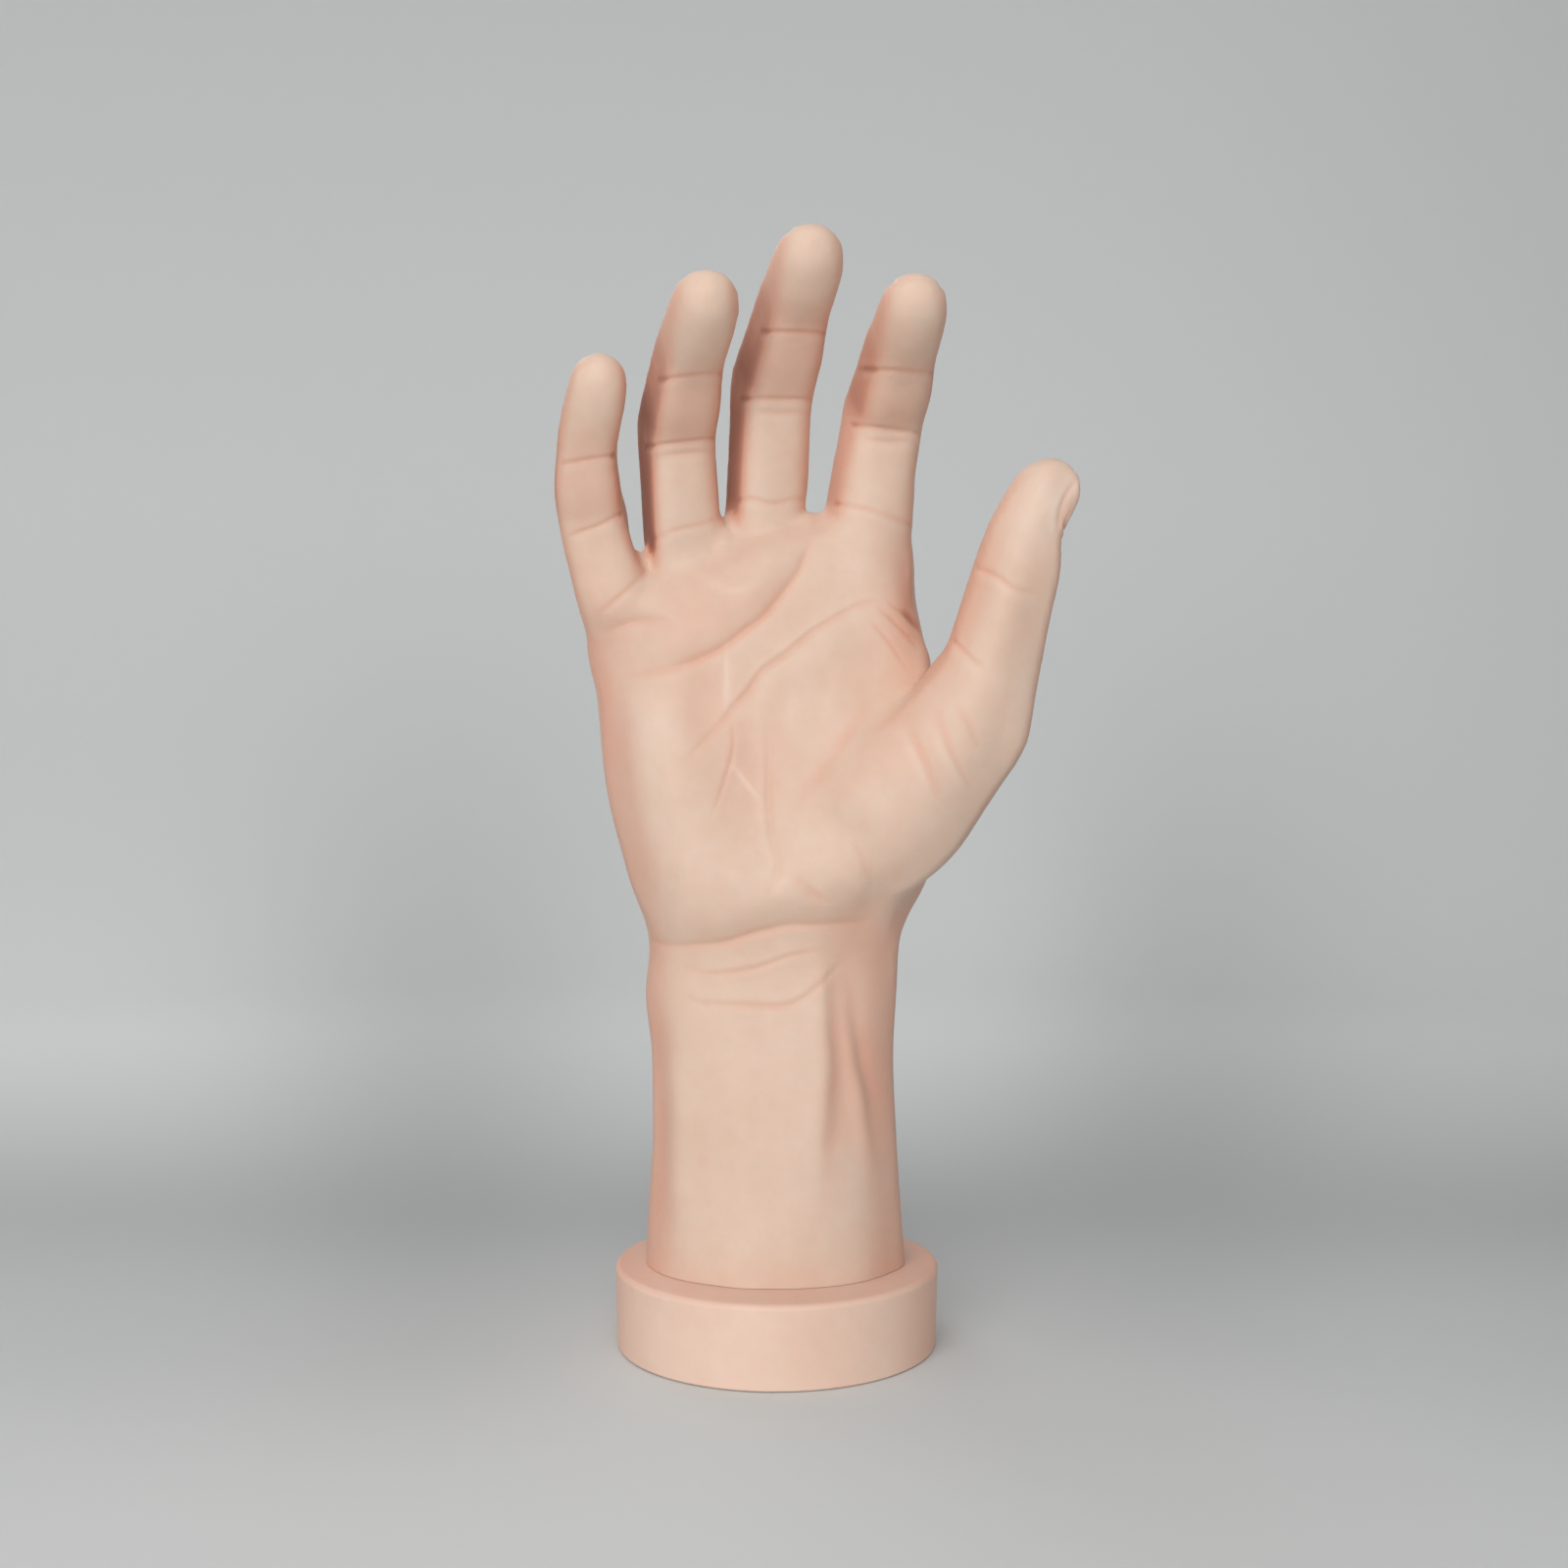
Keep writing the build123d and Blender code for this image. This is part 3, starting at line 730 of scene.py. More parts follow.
fingerCreases = {
    "indexEnd": {"points": [(880, 376), (886, 376), (949, 380), (956, 379)], "deep": 0.18},
    "indexMiddle": {"points": [(868, 434), (877, 434), (938, 442), (946, 442)], "deep": 0.22},
    "indexMiddleTwin": {"points": [(880, 447), (905, 450), (936, 450)], "deep": 0.12},
    "indexRoot": {"points": [(850, 512), (858, 514), (895, 522), (923, 533), (932, 538)], "deep": 0.1},
    "middleEnd": {"points": [(775, 338), (785, 338), (838, 340), (846, 340)], "deep": 0.18},
    "middleMiddle": {"points": [(755, 408), (766, 407), (825, 407), (832, 407)], "deep": 0.22},
    "middleMiddleTwin": {"points": [(768, 419), (795, 421), (822, 420)], "deep": 0.12},
    "middleRoot": {"points": [(750, 511), (766, 508), (790, 513), (815, 508), (828, 512)], "deep": 0.1},
    "ringEnd": {"points": [(670, 387), (680, 386), (731, 380), (738, 379)], "deep": 0.18},
    "ringMiddle": {"points": [(658, 455), (666, 454), (727, 447), (734, 446)], "deep": 0.22},
    "ringMiddleTwin": {"points": [(668, 465), (700, 462), (726, 460)], "deep": 0.12},
    "ringRoot": {"points": [(665, 550), (689, 541), (715, 535), (735, 529)], "deep": 0.1},
    "littleEnd": {"points": [(572, 473), (580, 472), (627, 464), (634, 463)], "deep": 0.18},
    "littleMiddle": {"points": [(578, 548), (588, 544), (612, 536), (632, 525), (642, 519)], "deep": 0.22},
    "littleRoot": {"points": [(608, 626), (622, 617), (645, 596), (660, 578)], "deep": 0.1},
    "thumbEnd": {"points": [(990, 575), (999, 580), (1018, 588), (1035, 600), (1060, 606)], "deep": 0.18},
    "thumbRoot": {"points": [(962, 643), (975, 655), (992, 672), (1005, 682)], "deep": 0.18},
}
# creases: painted shade in the groove and a painted highlight on one lip
creaseForm = {"wide": 0.6, "lip": 0.08, "flush": 0.22, "lipLight": 0.16}
drawnLines = [*palmLines.values(), *({**creaseForm, **crease} for crease in fingerCreases.values())]


def cameraView(skin, low, high):
    # where the camera sees each point, mm per pixel there, and how far the point faces the camera
    spots, scale = seenAt(skin.points)
    sight = unit(np.array(photo["eye"]) - skin.points)
    facing = smoothStep(low, high, (skin.normals() * sight).sum(1))
    return spots, scale, facing


def lineReach(line, spots, scale, facing):
    # the points that a line can touch, with their distance in mm, side and place
    path = wander(smoothPath(line["points"], lineForm["steps"]))
    low = path.min(0) - lineForm["margin"]
    high = path.max(0) + lineForm["margin"]
    touched = np.flatnonzero(((spots > low) & (spots < high)).all(1) & (facing > 0))
    apart, side, place = pathDistance(spots[touched], path)
    return touched, apart * scale[touched], side, place


def mouldLines(skin):
    # each line is a groove (a ridge where deep is below 0) with raised lips and its bank, fading at both
    # ends; a bank is nothing at its line, its full height at its reach, and dies away beyond
    spots, scale, facing = cameraView(skin, *lineForm["facing"])
    height = np.zeros(len(skin.points))
    for line in drawnLines:
        touched, apart, side, place = lineReach(line, spots, scale, facing)
        wide = line["wide"]
        bells = {name: hump(apart - at * wide, spread * wide) for name, (at, spread) in lineBells.items()}
        power = lineForm["fineFade"] if wide < lineForm["fine"] else lineForm["broadFade"]
        fade = np.clip(np.sin(np.pi * place), 0, 1) ** power * facing[touched]
        groove = line.get("lip", 0.0) * bells["lip"] - line["deep"] * bells["groove"]
        swell, reach = line.get("bank", (0.0, 1.0))
        far = apart / reach
        bank = swell * far**2 * np.exp(2 - 2 * far) * (side > 0) * smoothStep(0, 1, fade)
        height[touched] += groove * fade + bank
        # painted shade in the groove, and on the hollow side of a bank
        redder = line.get("flush", 0.0) * fade * bells["flush"]
        skin.flush[touched] += redder + lineForm["bankHollowShade"] * np.maximum(-bank, 0)
        # painted highlight on ridges and on one lip
        paler = line.get("light", 0.0) * bells["light"]
        paler += line.get("lipLight", 0.0) * bells["lipLight"] * (side < 0)
        skin.light[touched] = np.maximum(skin.light[touched], paler * fade)
    skin.push(height)


def nearLines(skin, reach):
    # points closer than reach to a fine line
    spots, scale, facing = cameraView(skin, *lineForm["facing"])
    found = np.zeros(len(skin.points), bool)
    for line in drawnLines:
        if line["wide"] < lineForm["fine"]:
            touched, apart = lineReach(line, spots, scale, facing)[:2]
            found[touched[apart < reach]] = True
    return found


# Broad forms of the palm side

palmForms = {  # swellings and hollows: pixel, radii in mm, turn in degrees, height in mm, share of painted shade
    "thumbBall": {"at": (930, 800), "radii": (26.0, 17.0), "turn": 55.0, "height": 1.8},
    "outerBall": {"at": (700, 850), "radii": (13.0, 26.0), "height": 1.4},
    "palmHollow": {"at": (775, 745), "radii": (14.0, 20.0), "height": -1.8, "flush": 0.05},
    "ringHollow": {"at": (716, 712), "radii": (5.5, 10.0), "height": -1.3, "flush": 0.18},
    "indexPad": {"at": (882, 578), "radii": (9.0, 9.0), "height": 1.1},
    "middlePad": {"at": (778, 560), "radii": (9.0, 9.0), "height": 0.9},
    "ringPad": {"at": (690, 600), "radii": (9.0, 9.0), "height": 1.0},
    "heel": {"at": (770, 895), "radii": (26.0, 10.0), "height": 1.8},
    "wristDip": {"at": (780, 990), "radii": (30.0, 10.0), "height": -0.8},
    "wristHollow": {"at": (885, 955), "radii": (9.0, 9.0), "height": -1.8, "flush": 0.34},
    "armValley": {"at": (775, 1120), "radii": (11.0, 40.0), "height": -0.9, "flush": 0.06},
    "webShade": {"at": (657, 560), "radii": (2.4, 4.0), "height": -0.4, "flush": 0.2},
    # the rest are painted shade only: at the palm's outer edge, under the pads, at the finger roots and the
    # thumb's web, over the thumb ball and in the middle hollow
    "outerEdgeShade": {"at": (610, 720), "radii": (6.0, 36.0), "flush": 0.26},
    "hookShade": {"at": (712, 620), "radii": (8.0, 6.0), "turn": -35.0, "height": -0.5, "flush": 0.1},
    "rootShade": {"at": (740, 625), "radii": (26.0, 9.0), "turn": 20.0, "flush": 0.13},
    "thumbWebShade": {"at": (930, 625), "radii": (7.0, 20.0), "flush": 0.34},
    "ballShade": {"at": (925, 780), "radii": (18.0, 13.0), "turn": 55.0, "flush": 0.09},
    "centreHollowShade": {"at": (765, 790), "radii": (6.0, 14.0), "flush": 0.14},
}
formFacing = (0.1, 0.6)
localMoves = {  # small shifts of the outline: place, radius and shift, all mm
    "thumbNotch": {"at": (72.0, -33.0, 205.5), "radius": 6.0, "shift": (-2.0, 0.0, 0.0)},
    "thumbWeb": {"at": (40.0, -13.0, 173.0), "radius": 7.0, "shift": (1.0, 0.0, 5.5)},
    "palmSide": {"at": (37.0, -7.0, 191.0), "radius": 8.0, "shift": (-1.7, 0.0, 0.0)},
    "thumbHeelSide": {"at": (65.0, -24.0, 163.0), "radius": 9.0, "shift": (-1.2, 0.0, 0.0)},
    "wristNotch": {"at": (35.0, -8.0, 115.0), "radius": 9.0, "shift": (-2.6, 0.0, 0.0)},
    "ballLow": {"at": (46.0, -16.0, 129.0), "radius": 9.0, "shift": (1.0, 0.0, 0.0)},
    "indexWeb": {"at": (10.5, -5.0, 213.0), "radius": 5.0, "shift": (0.0, 0.0, 2.6)},
    "littleWeb": {"at": (-36.0, -8.0, 207.0), "radius": 4.5, "shift": (0.2, 0.0, -2.3)},
    "indexFoot": {"at": (34.0, -4.0, 207.0), "radius": 10.0, "shift": (2.0, 0.0, 0.0)},
    "thumbSide": {"at": (70.0, -30.0, 187.0), "radius": 15.0, "shift": (-1.3, 0.0, 0.0)},
    "littleFoot": {"at": (-48.0, -4.0, 185.0), "radius": 8.0, "shift": (-1.7, 0.0, 0.0)},
}
palmEdge = {  # mm, apart from the slope and facing
    "nearer": (18.0, 34.0), "rise": 3.2, "slope": 0.23, "level": 185.0, "facing": (-0.2, 0.4),
    "bottom": (146.0, 170.0), "top": (226.0, 208.0), "front": (-26.0, -20.0), "side": (44.0, 40.0),
}


def squareEdge(skin):
    # closes the parted gap again, and carries the flat of the palm out to its edge beside the thumb: the
    # front rises as the edge comes nearer
    skin.points[:, 0] -= partFingers(skin.points[:, 0], skin.points[:, 2])
    x, y, z = skin.points.T
    nearer = smoothStep(*palmEdge["nearer"], x + palmEdge["slope"] * (z - palmEdge["level"]))
    facing = smoothStep(*palmEdge["facing"], -skin.normals()[:, 1])
    within = span(z, palmEdge["bottom"], palmEdge["top"])
    within = within * smoothStep(*palmEdge["front"], y) * smoothStep(*palmEdge["side"], x)
    skin.points[:, 1] -= palmEdge["rise"] * nearer * facing * within
    for move in localMoves.values():
        share = hump(awayFrom(skin.points, move["at"]), move["radius"])
        skin.points += share[:, None] * np.array(move["shift"])


def mouldForms(skin):
    # bell-shaped swellings, longer along their turn, on the points that face the camera, with their painted
    # shade
    spots, scale, facing = cameraView(skin, *formFacing)
    height = np.zeros(len(skin.points))
    for form in palmForms.values():
        right, down = ((spots - np.array(form["at"], float)) * scale[:, None]).T
        turn = math.radians(form.get("turn", 0.0))
        along = right * math.cos(turn) - down * math.sin(turn)
        aside = right * math.sin(turn) + down * math.cos(turn)
        bell = hump(along, form["radii"][0]) * hump(aside, form["radii"][1]) * facing
        height += form.get("height", 0.0) * bell
        # painted shade
        skin.flush += form.get("flush", 0.0) * bell
    skin.push(height)


# Digits and the back of the hand

digitForm = {  # lengths in mm, angles in degrees; pairs are where a form begins and ends
    "nearest": (1.5, -1.5),  # by how much other digits are nearer
    "skirt": np.array((9.0, 4.0)),  # outside the half width
    "behind": (-0.1, 0.55), "front": (0.2, -0.6),  # parts of the half width
    "root": (0.0, 16.0),
    "tip": np.array((-1.0, -9.0)),  # from the end
    "shaft": np.array((14.0, -10.0)),  # from the last joint
    "boxy": 0.45, "boxyMean": 0.05, "boxyTip": 0.25,  # how far the corners stand out of a round section
    "flankAngle": 148.0, "flankWide": 26.0,  # round a finger to the middle of its cut-back side
    "pad": 0.45, "padBeyond": 6.0,
    "middleJoint": 0.7, "endJoint": 0.35, "jointWide": 6.0,
    "wrinkles": (4, 3), "wrinkleDeep": 0.3, "wrinkleWide": 0.6, "wrinkleStep": 2.5,
    "wrinkleBow": 0.35, "wrinkleSide": (0.85, 0.3),
}
nailForm = {  # mm; taper and crown are parts of the nail's width, and the groove's share is of painted shade in the groove
    "corner": 2.6, "taper": 0.1, "plate": 0.3, "plateEdge": (0.2, -0.4), "crown": 0.6,
    "groove": 0.5, "grooveAt": 0.2, "grooveWide": 0.45, "grooveShade": 0.4,
    "fold": 0.25, "foldAt": 1.6, "foldWide": 1.0,
}
backForm = {  # mm; facing, tendonFade and tendonSpread are shares
    "facing": (0.15, 0.7),
    "knuckle": 3.0, "knuckleUp": 3.0, "knuckleRadius": 8.5,
    "valley": 1.8, "valleyUp": 5.0, "valleyRadius": 5.5,
    "tendon": 1.4, "tendonWide": 2.4, "tendonFoot": (-2.0, 128.0), "tendonFade": (1.0, 0.35),
    "tendonSpread": 0.22,  # share of the knuckles' places that is left at the wrist
    "wristBone": 2.2, "wristBoneAt": (-23.0, 101.0), "wristBoneRadius": 9.0,
}
fineReach = {  # mm within which the surface is made finer; nailBehind and jointBehind are shares
    "lines": 1.9, "linesAgain": 0.9, "nail": 1.4, "nailBehind": 0.2, "joints": (5.5, 4.0), "jointBehind": 0.5,
}


def digitViews(skin):
    # where every point lies on each digit, with the share of it that is the digit's own, and its back
    views = {name: digitPlaces(skin.points, digit) for name, digit in digits.items()}
    for name, at in views.items():
        half = digits[name]["halfWidth"]
        others = np.min([view["reach"] for other, view in views.items() if other != name], 0)
        at["own"] = smoothStep(*digitForm["nearest"], at["reach"] - others)
        at["own"] = at["own"] * smoothStep(*(half + digitForm["skirt"]), at["reach"])
        at["behind"] = smoothStep(*digitForm["behind"], at["back"] / half) * at["own"]
    return views


def jointPlaces(digit):
    # how far along a digit its creases lie: at the end of its first bone and the start of its last
    return np.cumsum(digit["bones"])[[0, -2]]


def digitShape(digit, at):
    # broad forms: squarer corners, one side cut back, pads between the creases, and rounded joints on
    # the back
    end = sum(digit["bones"])
    middle, tip = jointPlaces(digit)
    angle = np.arctan2(at["back"], at["across"])
    body = at["own"] * span(at["along"], digitForm["root"], end + digitForm["tip"])
    shaft = body * smoothStep(*(tip + digitForm["shaft"]), at["along"])
    corners = digitForm["boxyMean"] - np.cos(4 * (angle - math.radians(digit["twist"])))
    tipShare = digitForm["boxyTip"]
    height = digitForm["boxy"] * corners * (tipShare * body + (1 - tipShare) * shaft)
    fromFlank = np.degrees(angle) + digitForm["flankAngle"]
    height -= digit["flank"] * hump(fromFlank, digitForm["flankWide"]) * shaft
    front = smoothStep(*digitForm["front"], at["back"] / digit["halfWidth"]) * body
    for low, high in ((0.0, middle), (middle, tip), (tip, end + digitForm["padBeyond"])):
        share = np.clip((at["along"] - low) / (high - low), 0, 1)
        height += digitForm["pad"] * np.sin(np.pi * share) ** 2 * front
    for joint, swell in ((middle, digitForm["middleJoint"]), (tip, digitForm["endJoint"])):
        height += swell * hump(at["along"] - joint, digitForm["jointWide"]) * at["behind"]
    return height


def nailEdge(digit, at):
    # distance from the outline of a nail, below 0 inside it: a rectangle with rounded corners, wider at
    # its root
    length, width = digit["nail"]
    corner = nailForm["corner"]
    middle = sum(digit["bones"]) - digit["inset"] - length / 2
    flare = width / 2 * (1 - nailForm["taper"] * (at["along"] - middle) / length)
    x = np.abs(at["across"]) - flare + corner
    y = np.abs(at["along"] - middle) - length / 2 + corner
    return np.hypot(np.maximum(x, 0), np.maximum(y, 0)) + np.minimum(np.maximum(x, y), 0) - corner


def digitDetail(skin, digit, at):
    # fine forms of a digit's back: wrinkles across its joints, and a nail plate in its groove, with painted
    # shade there
    half = digit["halfWidth"]
    height = np.zeros(len(skin.points))
    side = smoothStep(*digitForm["wrinkleSide"], np.abs(at["across"]) / half)
    for joint, wrinkles in zip(jointPlaces(digit), digitForm["wrinkles"]):
        for k in range(wrinkles):
            place = (k - (wrinkles - 1) / 2) * digitForm["wrinkleStep"]
            bow = place * (1 + digitForm["wrinkleBow"] * (at["across"] / half) ** 2)
            line = hump(at["along"] - joint - bow, digitForm["wrinkleWide"])
            height -= digitForm["wrinkleDeep"] * line * at["behind"] * side
    edge = nailEdge(digit, at)
    plate = smoothStep(*nailForm["plateEdge"], edge) * at["behind"]
    groove = hump(edge - nailForm["grooveAt"], nailForm["grooveWide"]) * at["behind"]
    fold = hump(edge - nailForm["foldAt"], nailForm["foldWide"]) * at["behind"]
    height += nailForm["plate"] * plate * hump(at["across"], digit["nail"][1] * nailForm["crown"])
    height += nailForm["fold"] * fold - nailForm["groove"] * groove
    skin.nail = np.maximum(skin.nail, plate)
    # painted shade in the groove round the nail
    skin.flush = np.maximum(skin.flush, nailForm["grooveShade"] * groove)
    return height


def nearBackLines(skin):
    # points near a nail's edge or among the wrinkles
    found = np.zeros(len(skin.points), bool)
    for name, at in digitViews(skin).items():
        digit = digits[name]
        nearNail = np.abs(nailEdge(digit, at)) < fineReach["nail"]
        found |= nearNail & (at["behind"] > fineReach["nailBehind"])
        for joint, reach in zip(jointPlaces(digit), fineReach["joints"]):
            found |= (np.abs(at["along"] - joint) < reach) & (at["behind"] > fineReach["jointBehind"])
    return found


def mouldBack(skin):
    # back of the hand: domes over the knuckles, valleys between them, the cords that run to the wrist, and
    # the bone at the wrist's side
    facing = smoothStep(*backForm["facing"], skin.normals()[:, 1])
    flat = skin.points[:, [0, 2]]
    height = np.zeros(len(skin.points))
    knuckles = [np.array(digit["knuckle"]) for name, digit in digits.items() if name != "thumb"]
    heads = [knuckle[[0, 2]] + (0.0, backForm["knuckleUp"]) for knuckle in knuckles]
    for head in heads:
        height += backForm["knuckle"] * hump(awayFrom(flat, head), backForm["knuckleRadius"])
        foot = np.array(backForm["tendonFoot"]) + (backForm["tendonSpread"] * head[0], 0.0)
        apart, _, place = pathDistance(flat, np.stack((head, foot)))
        cord = hump(apart, backForm["tendonWide"]) * smoothStep(*backForm["tendonFade"], place)
        height += backForm["tendon"] * cord
    for first, second in zip(heads, heads[1:]):
        between = (first + second) / 2 + (0.0, backForm["valleyUp"])
        height -= backForm["valley"] * hump(awayFrom(flat, between), backForm["valleyRadius"])
    wristBone = hump(awayFrom(flat, backForm["wristBoneAt"]), backForm["wristBoneRadius"])
    height += backForm["wristBone"] * wristBone
    skin.push(height * facing)


# The whole hand

blend = {  # rounds of smoothing and where they act, in mm: by height, or above the line of the knuckles
    "first": 8,
    "webs": {"rounds": 16, "share": 0.8, "rise": (-16, -4), "fall": (26, 16)},
    "corners": {"rounds": 45, "height": (95.0, 110.0), "above": (14.0, 4.0)},
    "palm": {"rounds": 100, "facing": (0.35, 0.75), "height": (100.0, 115.0), "above": (8, -4)},
    "last": 5, "moved": 3, "refined": 2,  # after blending, the small shifts, and refining
}
paint = {  # shares of painted shade; pairs are parts of a half width, or mm along a digit
    # painted shade on the front of the hand's sides, where the light falls off
    "side": 0.46, "sideAcross": (0.5, 0.95), "sideBack": (0.3, -0.2),  # by how far the surface faces there
    # painted shade on the side of each finger that its neighbour shades
    "digits": {"index": 0.14, "middle": 0.5, "ring": 0.62, "little": 0.1, "thumb": 0.1},
    "aside": (-0.3, -1.05), "front": (0.5, -0.1), "root": (6.0, 16.0),
    "fadeFrom": 20.0, "fadeTo": 0.85,  # mm along, and part of the digit's length
    # painted shade over the middle bones, which face down
    "phalanx": 0.2,
    "phalanxRise": np.array((-2, 8)),  # from the middle joint
    "phalanxFall": np.array((16, -2)),  # from the end joint
}


def blendForms(skin):
    # takes the edges off where the CAD's forms meet: between the fingers, in hollow corners and over the palm
    skin.even(blend["first"])
    line = np.array([digits["little"]["knuckle"], digits["index"]["knuckle"]])
    slope = unit(line[1] - line[0])
    above = (skin.points - line[0]) @ np.array([-slope[2], 0.0, slope[0]])
    webs, corners, palm = blend["webs"], blend["corners"], blend["palm"]
    skin.melt(webs["rounds"], span(above, webs["rise"], webs["fall"]) * webs["share"])
    height = skin.points[:, 2]
    hollows = smoothStep(*corners["height"], height) * smoothStep(*corners["above"], above)
    skin.fill(corners["rounds"], hollows)
    front = smoothStep(*palm["facing"], -skin.normals()[:, 1])
    flat = front * smoothStep(*palm["height"], height) * smoothStep(*palm["above"], above)
    skin.melt(palm["rounds"], flat)
    skin.even(blend["last"])


def paintShade(skin, views):
    # painted shade: on the front of the hand's sides, where the light falls off; on the side of each digit
    # that faces the little finger, where a neighbour shades it; and over the middle bones of the fingers,
    # which face down
    across, back, _ = skin.normals().T
    sides = smoothStep(*paint["sideAcross"], np.abs(across)) * smoothStep(*paint["sideBack"], back)
    skin.flush += paint["side"] * sides
    for name, at in views.items():
        digit = digits[name]
        half = digit["halfWidth"]
        fade = (sum(digit["bones"]) * paint["fadeTo"], paint["fadeFrom"])
        aside = smoothStep(*paint["aside"], at["across"] / half)
        front = smoothStep(*paint["front"], at["back"] / half)
        root = span(at["along"], paint["root"], fade)
        skin.flush += paint["digits"][name] * aside * front * root * at["own"]
        if name != "thumb":
            middle, tip = jointPlaces(digit)
            between = span(at["along"], middle + paint["phalanxRise"], tip + paint["phalanxFall"])
            skin.flush += paint["phalanx"] * between * at["own"]


def fitBox(skin):
    # draws the raised parts in towards the wrist, axis by axis, until they fit the CAD's box
    low, high = (np.array(corner) * metre - handShape["wrist"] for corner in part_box("hand_shell"))
    offset = skin.points - np.array(handShape["wrist"])
    raised = smoothStep(0.0, handShape["fitEase"], offset[:, 2])
    for axis in range(3):
        over = max(offset[:, axis].max() / high[axis], 1.0)
        under = max(offset[raised > handShape["fitShare"], axis].min() / low[axis], 1.0)
        share = np.where(offset[:, axis] > 0, 1 / over, 1 / under) if axis < 2 else 1 / over
        offset[:, axis] *= 1 + raised * (share - 1)
    skin.points = offset + np.array(handShape["wrist"])


def handSurface():
    # the CAD moulding's outer skin, remeshed evenly, blended and moulded: broad forms first, then fine lines
    outer, armEnd = outerSkin(nodes["hand_shell"])
    skin = Skin(remeshed(outer, handShape["voxel"]))
    print("hand skin:", len(skin.points), "points")
    blendForms(skin)
    squareEdge(skin)
    skin.even(blend["moved"])
    mouldForms(skin)
    mouldBack(skin)
    views = digitViews(skin)
    skin.push(sum(digitShape(digits[name], at) for name, at in views.items()))
    paintShade(skin, views)
    skin = refined(skin, nearLines(skin, fineReach["lines"]) | nearBackLines(skin))
    skin = refined(skin, nearLines(skin, fineReach["linesAgain"]))
    skin.even(blend["refined"])
    print("hand refined:", len(skin.points), "points,", len(skin.corners), "triangles")
    skin.push(sum(digitDetail(skin, digits[name], at) for name, at in digitViews(skin).items()))
    mouldLines(skin)
    fitBox(skin)
    skin.store()
    skin.paint()
    print("hand moulded")
    return skin.mesh, armEnd


def openArm(surface, armEnd):
    # cuts the arm level at its end and turns the edge in and up, so that the wall shows round the plug
    mesh = bmesh.new()
    mesh.from_mesh(surface)
    geometry = mesh.verts[:] + mesh.edges[:] + mesh.faces[:]
    level = {"plane_co": (0, 0, armEnd / metre), "plane_no": (0, 0, 1)}
    bmesh.ops.bisect_plane(mesh, geom=geometry, dist=1e-7, clear_inner=True, **level)
    rim = openEdges(mesh)
    for inwards, upwards in ((handShape["wall"], 0.0), (0.0, handShape["recess"])):
        ends, rim = drawRim(mesh, rim)
        for vertex in ends:
            outwards = Vector((vertex.co.x, vertex.co.y * handShape["oval"], 0)).normalized()
            vertex.co -= outwards * inwards / metre
            vertex.co.z += upwards / metre
    bmesh.ops.holes_fill(mesh, edges=rim)
    bmesh.ops.recalc_face_normals(mesh, faces=mesh.faces)
    mesh.to_mesh(surface)
    mesh.free()
    surface.shade_smooth()
    surface.set_sharp_from_angle(angle=math.radians(handShape["sharp"]))


def makeHand():
    # the moulded hand in place of the CAD's plainer one
    surface, armEnd = handSurface()
    openArm(surface, armEnd)
    hand = bpy.data.objects.new("hand", surface)
    bpy.context.scene.collection.objects.link(hand)
    surface.materials.clear()
    surface.materials.append(vinylFinish("handVinyl", True))
    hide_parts("hand_shell")
    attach(hand, "hand")
    print("hand:", len(surface.polygons), "faces")


makeHand()


# Base and the inner pieces

def dress(node, material):
    # gives a CAD piece its finish
    slots = nodes[node].data.materials
    slots.clear()
    slots.append(material)


plasticForm = {"clouds": 90.0, "cloudShade": 0.86, "grainRough": 0.16}
plastics = {  # material's name, shade, roughness, grains to the metre and their depth
    "wrist_plug": ("plugPlastic", colour(208, 176, 156), 0.47, 700.0, 0.00008),
    "pivot_bush": ("bushAcetal", colour(236, 234, 226), 0.3, 900.0, 0.00003),
    "base_cover": ("coverPlastic", colour(58, 58, 60), 0.47, 1100.0, 0.0001),
    "friction_washer": ("washerRubber", colour(48, 48, 49), 0.67, 900.0, 0.00008),
}
# rings, clouds, grains and cells are counts to the metre, and depths are metres
steelForm = {
    "bright": colour(206, 207, 208), "dull": colour(186, 187, 190),
    "rings": (60.0, 60.0, 9000.0), "clouds": 260.0, "depth": 0.00002,
    "roughness": 0.2, "ringRough": 0.16, "cloudRough": 0.06,
}
ironForm = {
    "dark": colour(74, 74, 77), "worn": colour(118, 117, 117), "grain": 700.0, "depth": 0.00018,
    "roughness": 0.72, "wornSmooth": 0.2,
}
foamForm = {
    "dark": colour(44, 44, 45), "light": colour(66, 65, 65), "cells": 1400.0, "depth": 0.00015,
    "roughness": 0.8, "cellRough": 0.15,
}


def plainPlastic(name, shade, roughness, grain, depth):
    # moulded plastic: an even colour with a faint darker cloud in it and a fine grain
    finish = Finish(name, IOR=1.49)
    cloud = finish.ramp(finish.noise(plasticForm["clouds"]), low=0.3, high=0.7)
    darker = tuple(c * plasticForm["cloudShade"] for c in shade[:3]) + (1.0,)
    texture = finish.noise(grain, roughness=0.6)
    finish.drive("Base Color", finish.tint(cloud, shade, darker))
    finish.drive("Roughness", texture * plasticForm["grainRough"] + roughness)
    finish.bump(texture, depth, strength=0.7)
    return finish.material


def turnedSteel(name):
    # bright turned metal: fine rings round the upright axis and a slow change of polish
    finish = Finish(name, Metallic=1.0)
    rings = finish.noise(1.0, detail=2.0, roughness=0.6, place=finish.stretched(steelForm["rings"]))
    cloud = finish.ramp(finish.noise(steelForm["clouds"]), low=0.35, high=0.7)
    roughness = rings * steelForm["ringRough"] + cloud * steelForm["cloudRough"] + steelForm["roughness"]
    finish.drive("Base Color", finish.tint(cloud, steelForm["bright"], steelForm["dull"]))
    finish.drive("Roughness", roughness)
    finish.bump(rings, steelForm["depth"], strength=0.6)
    return finish.material


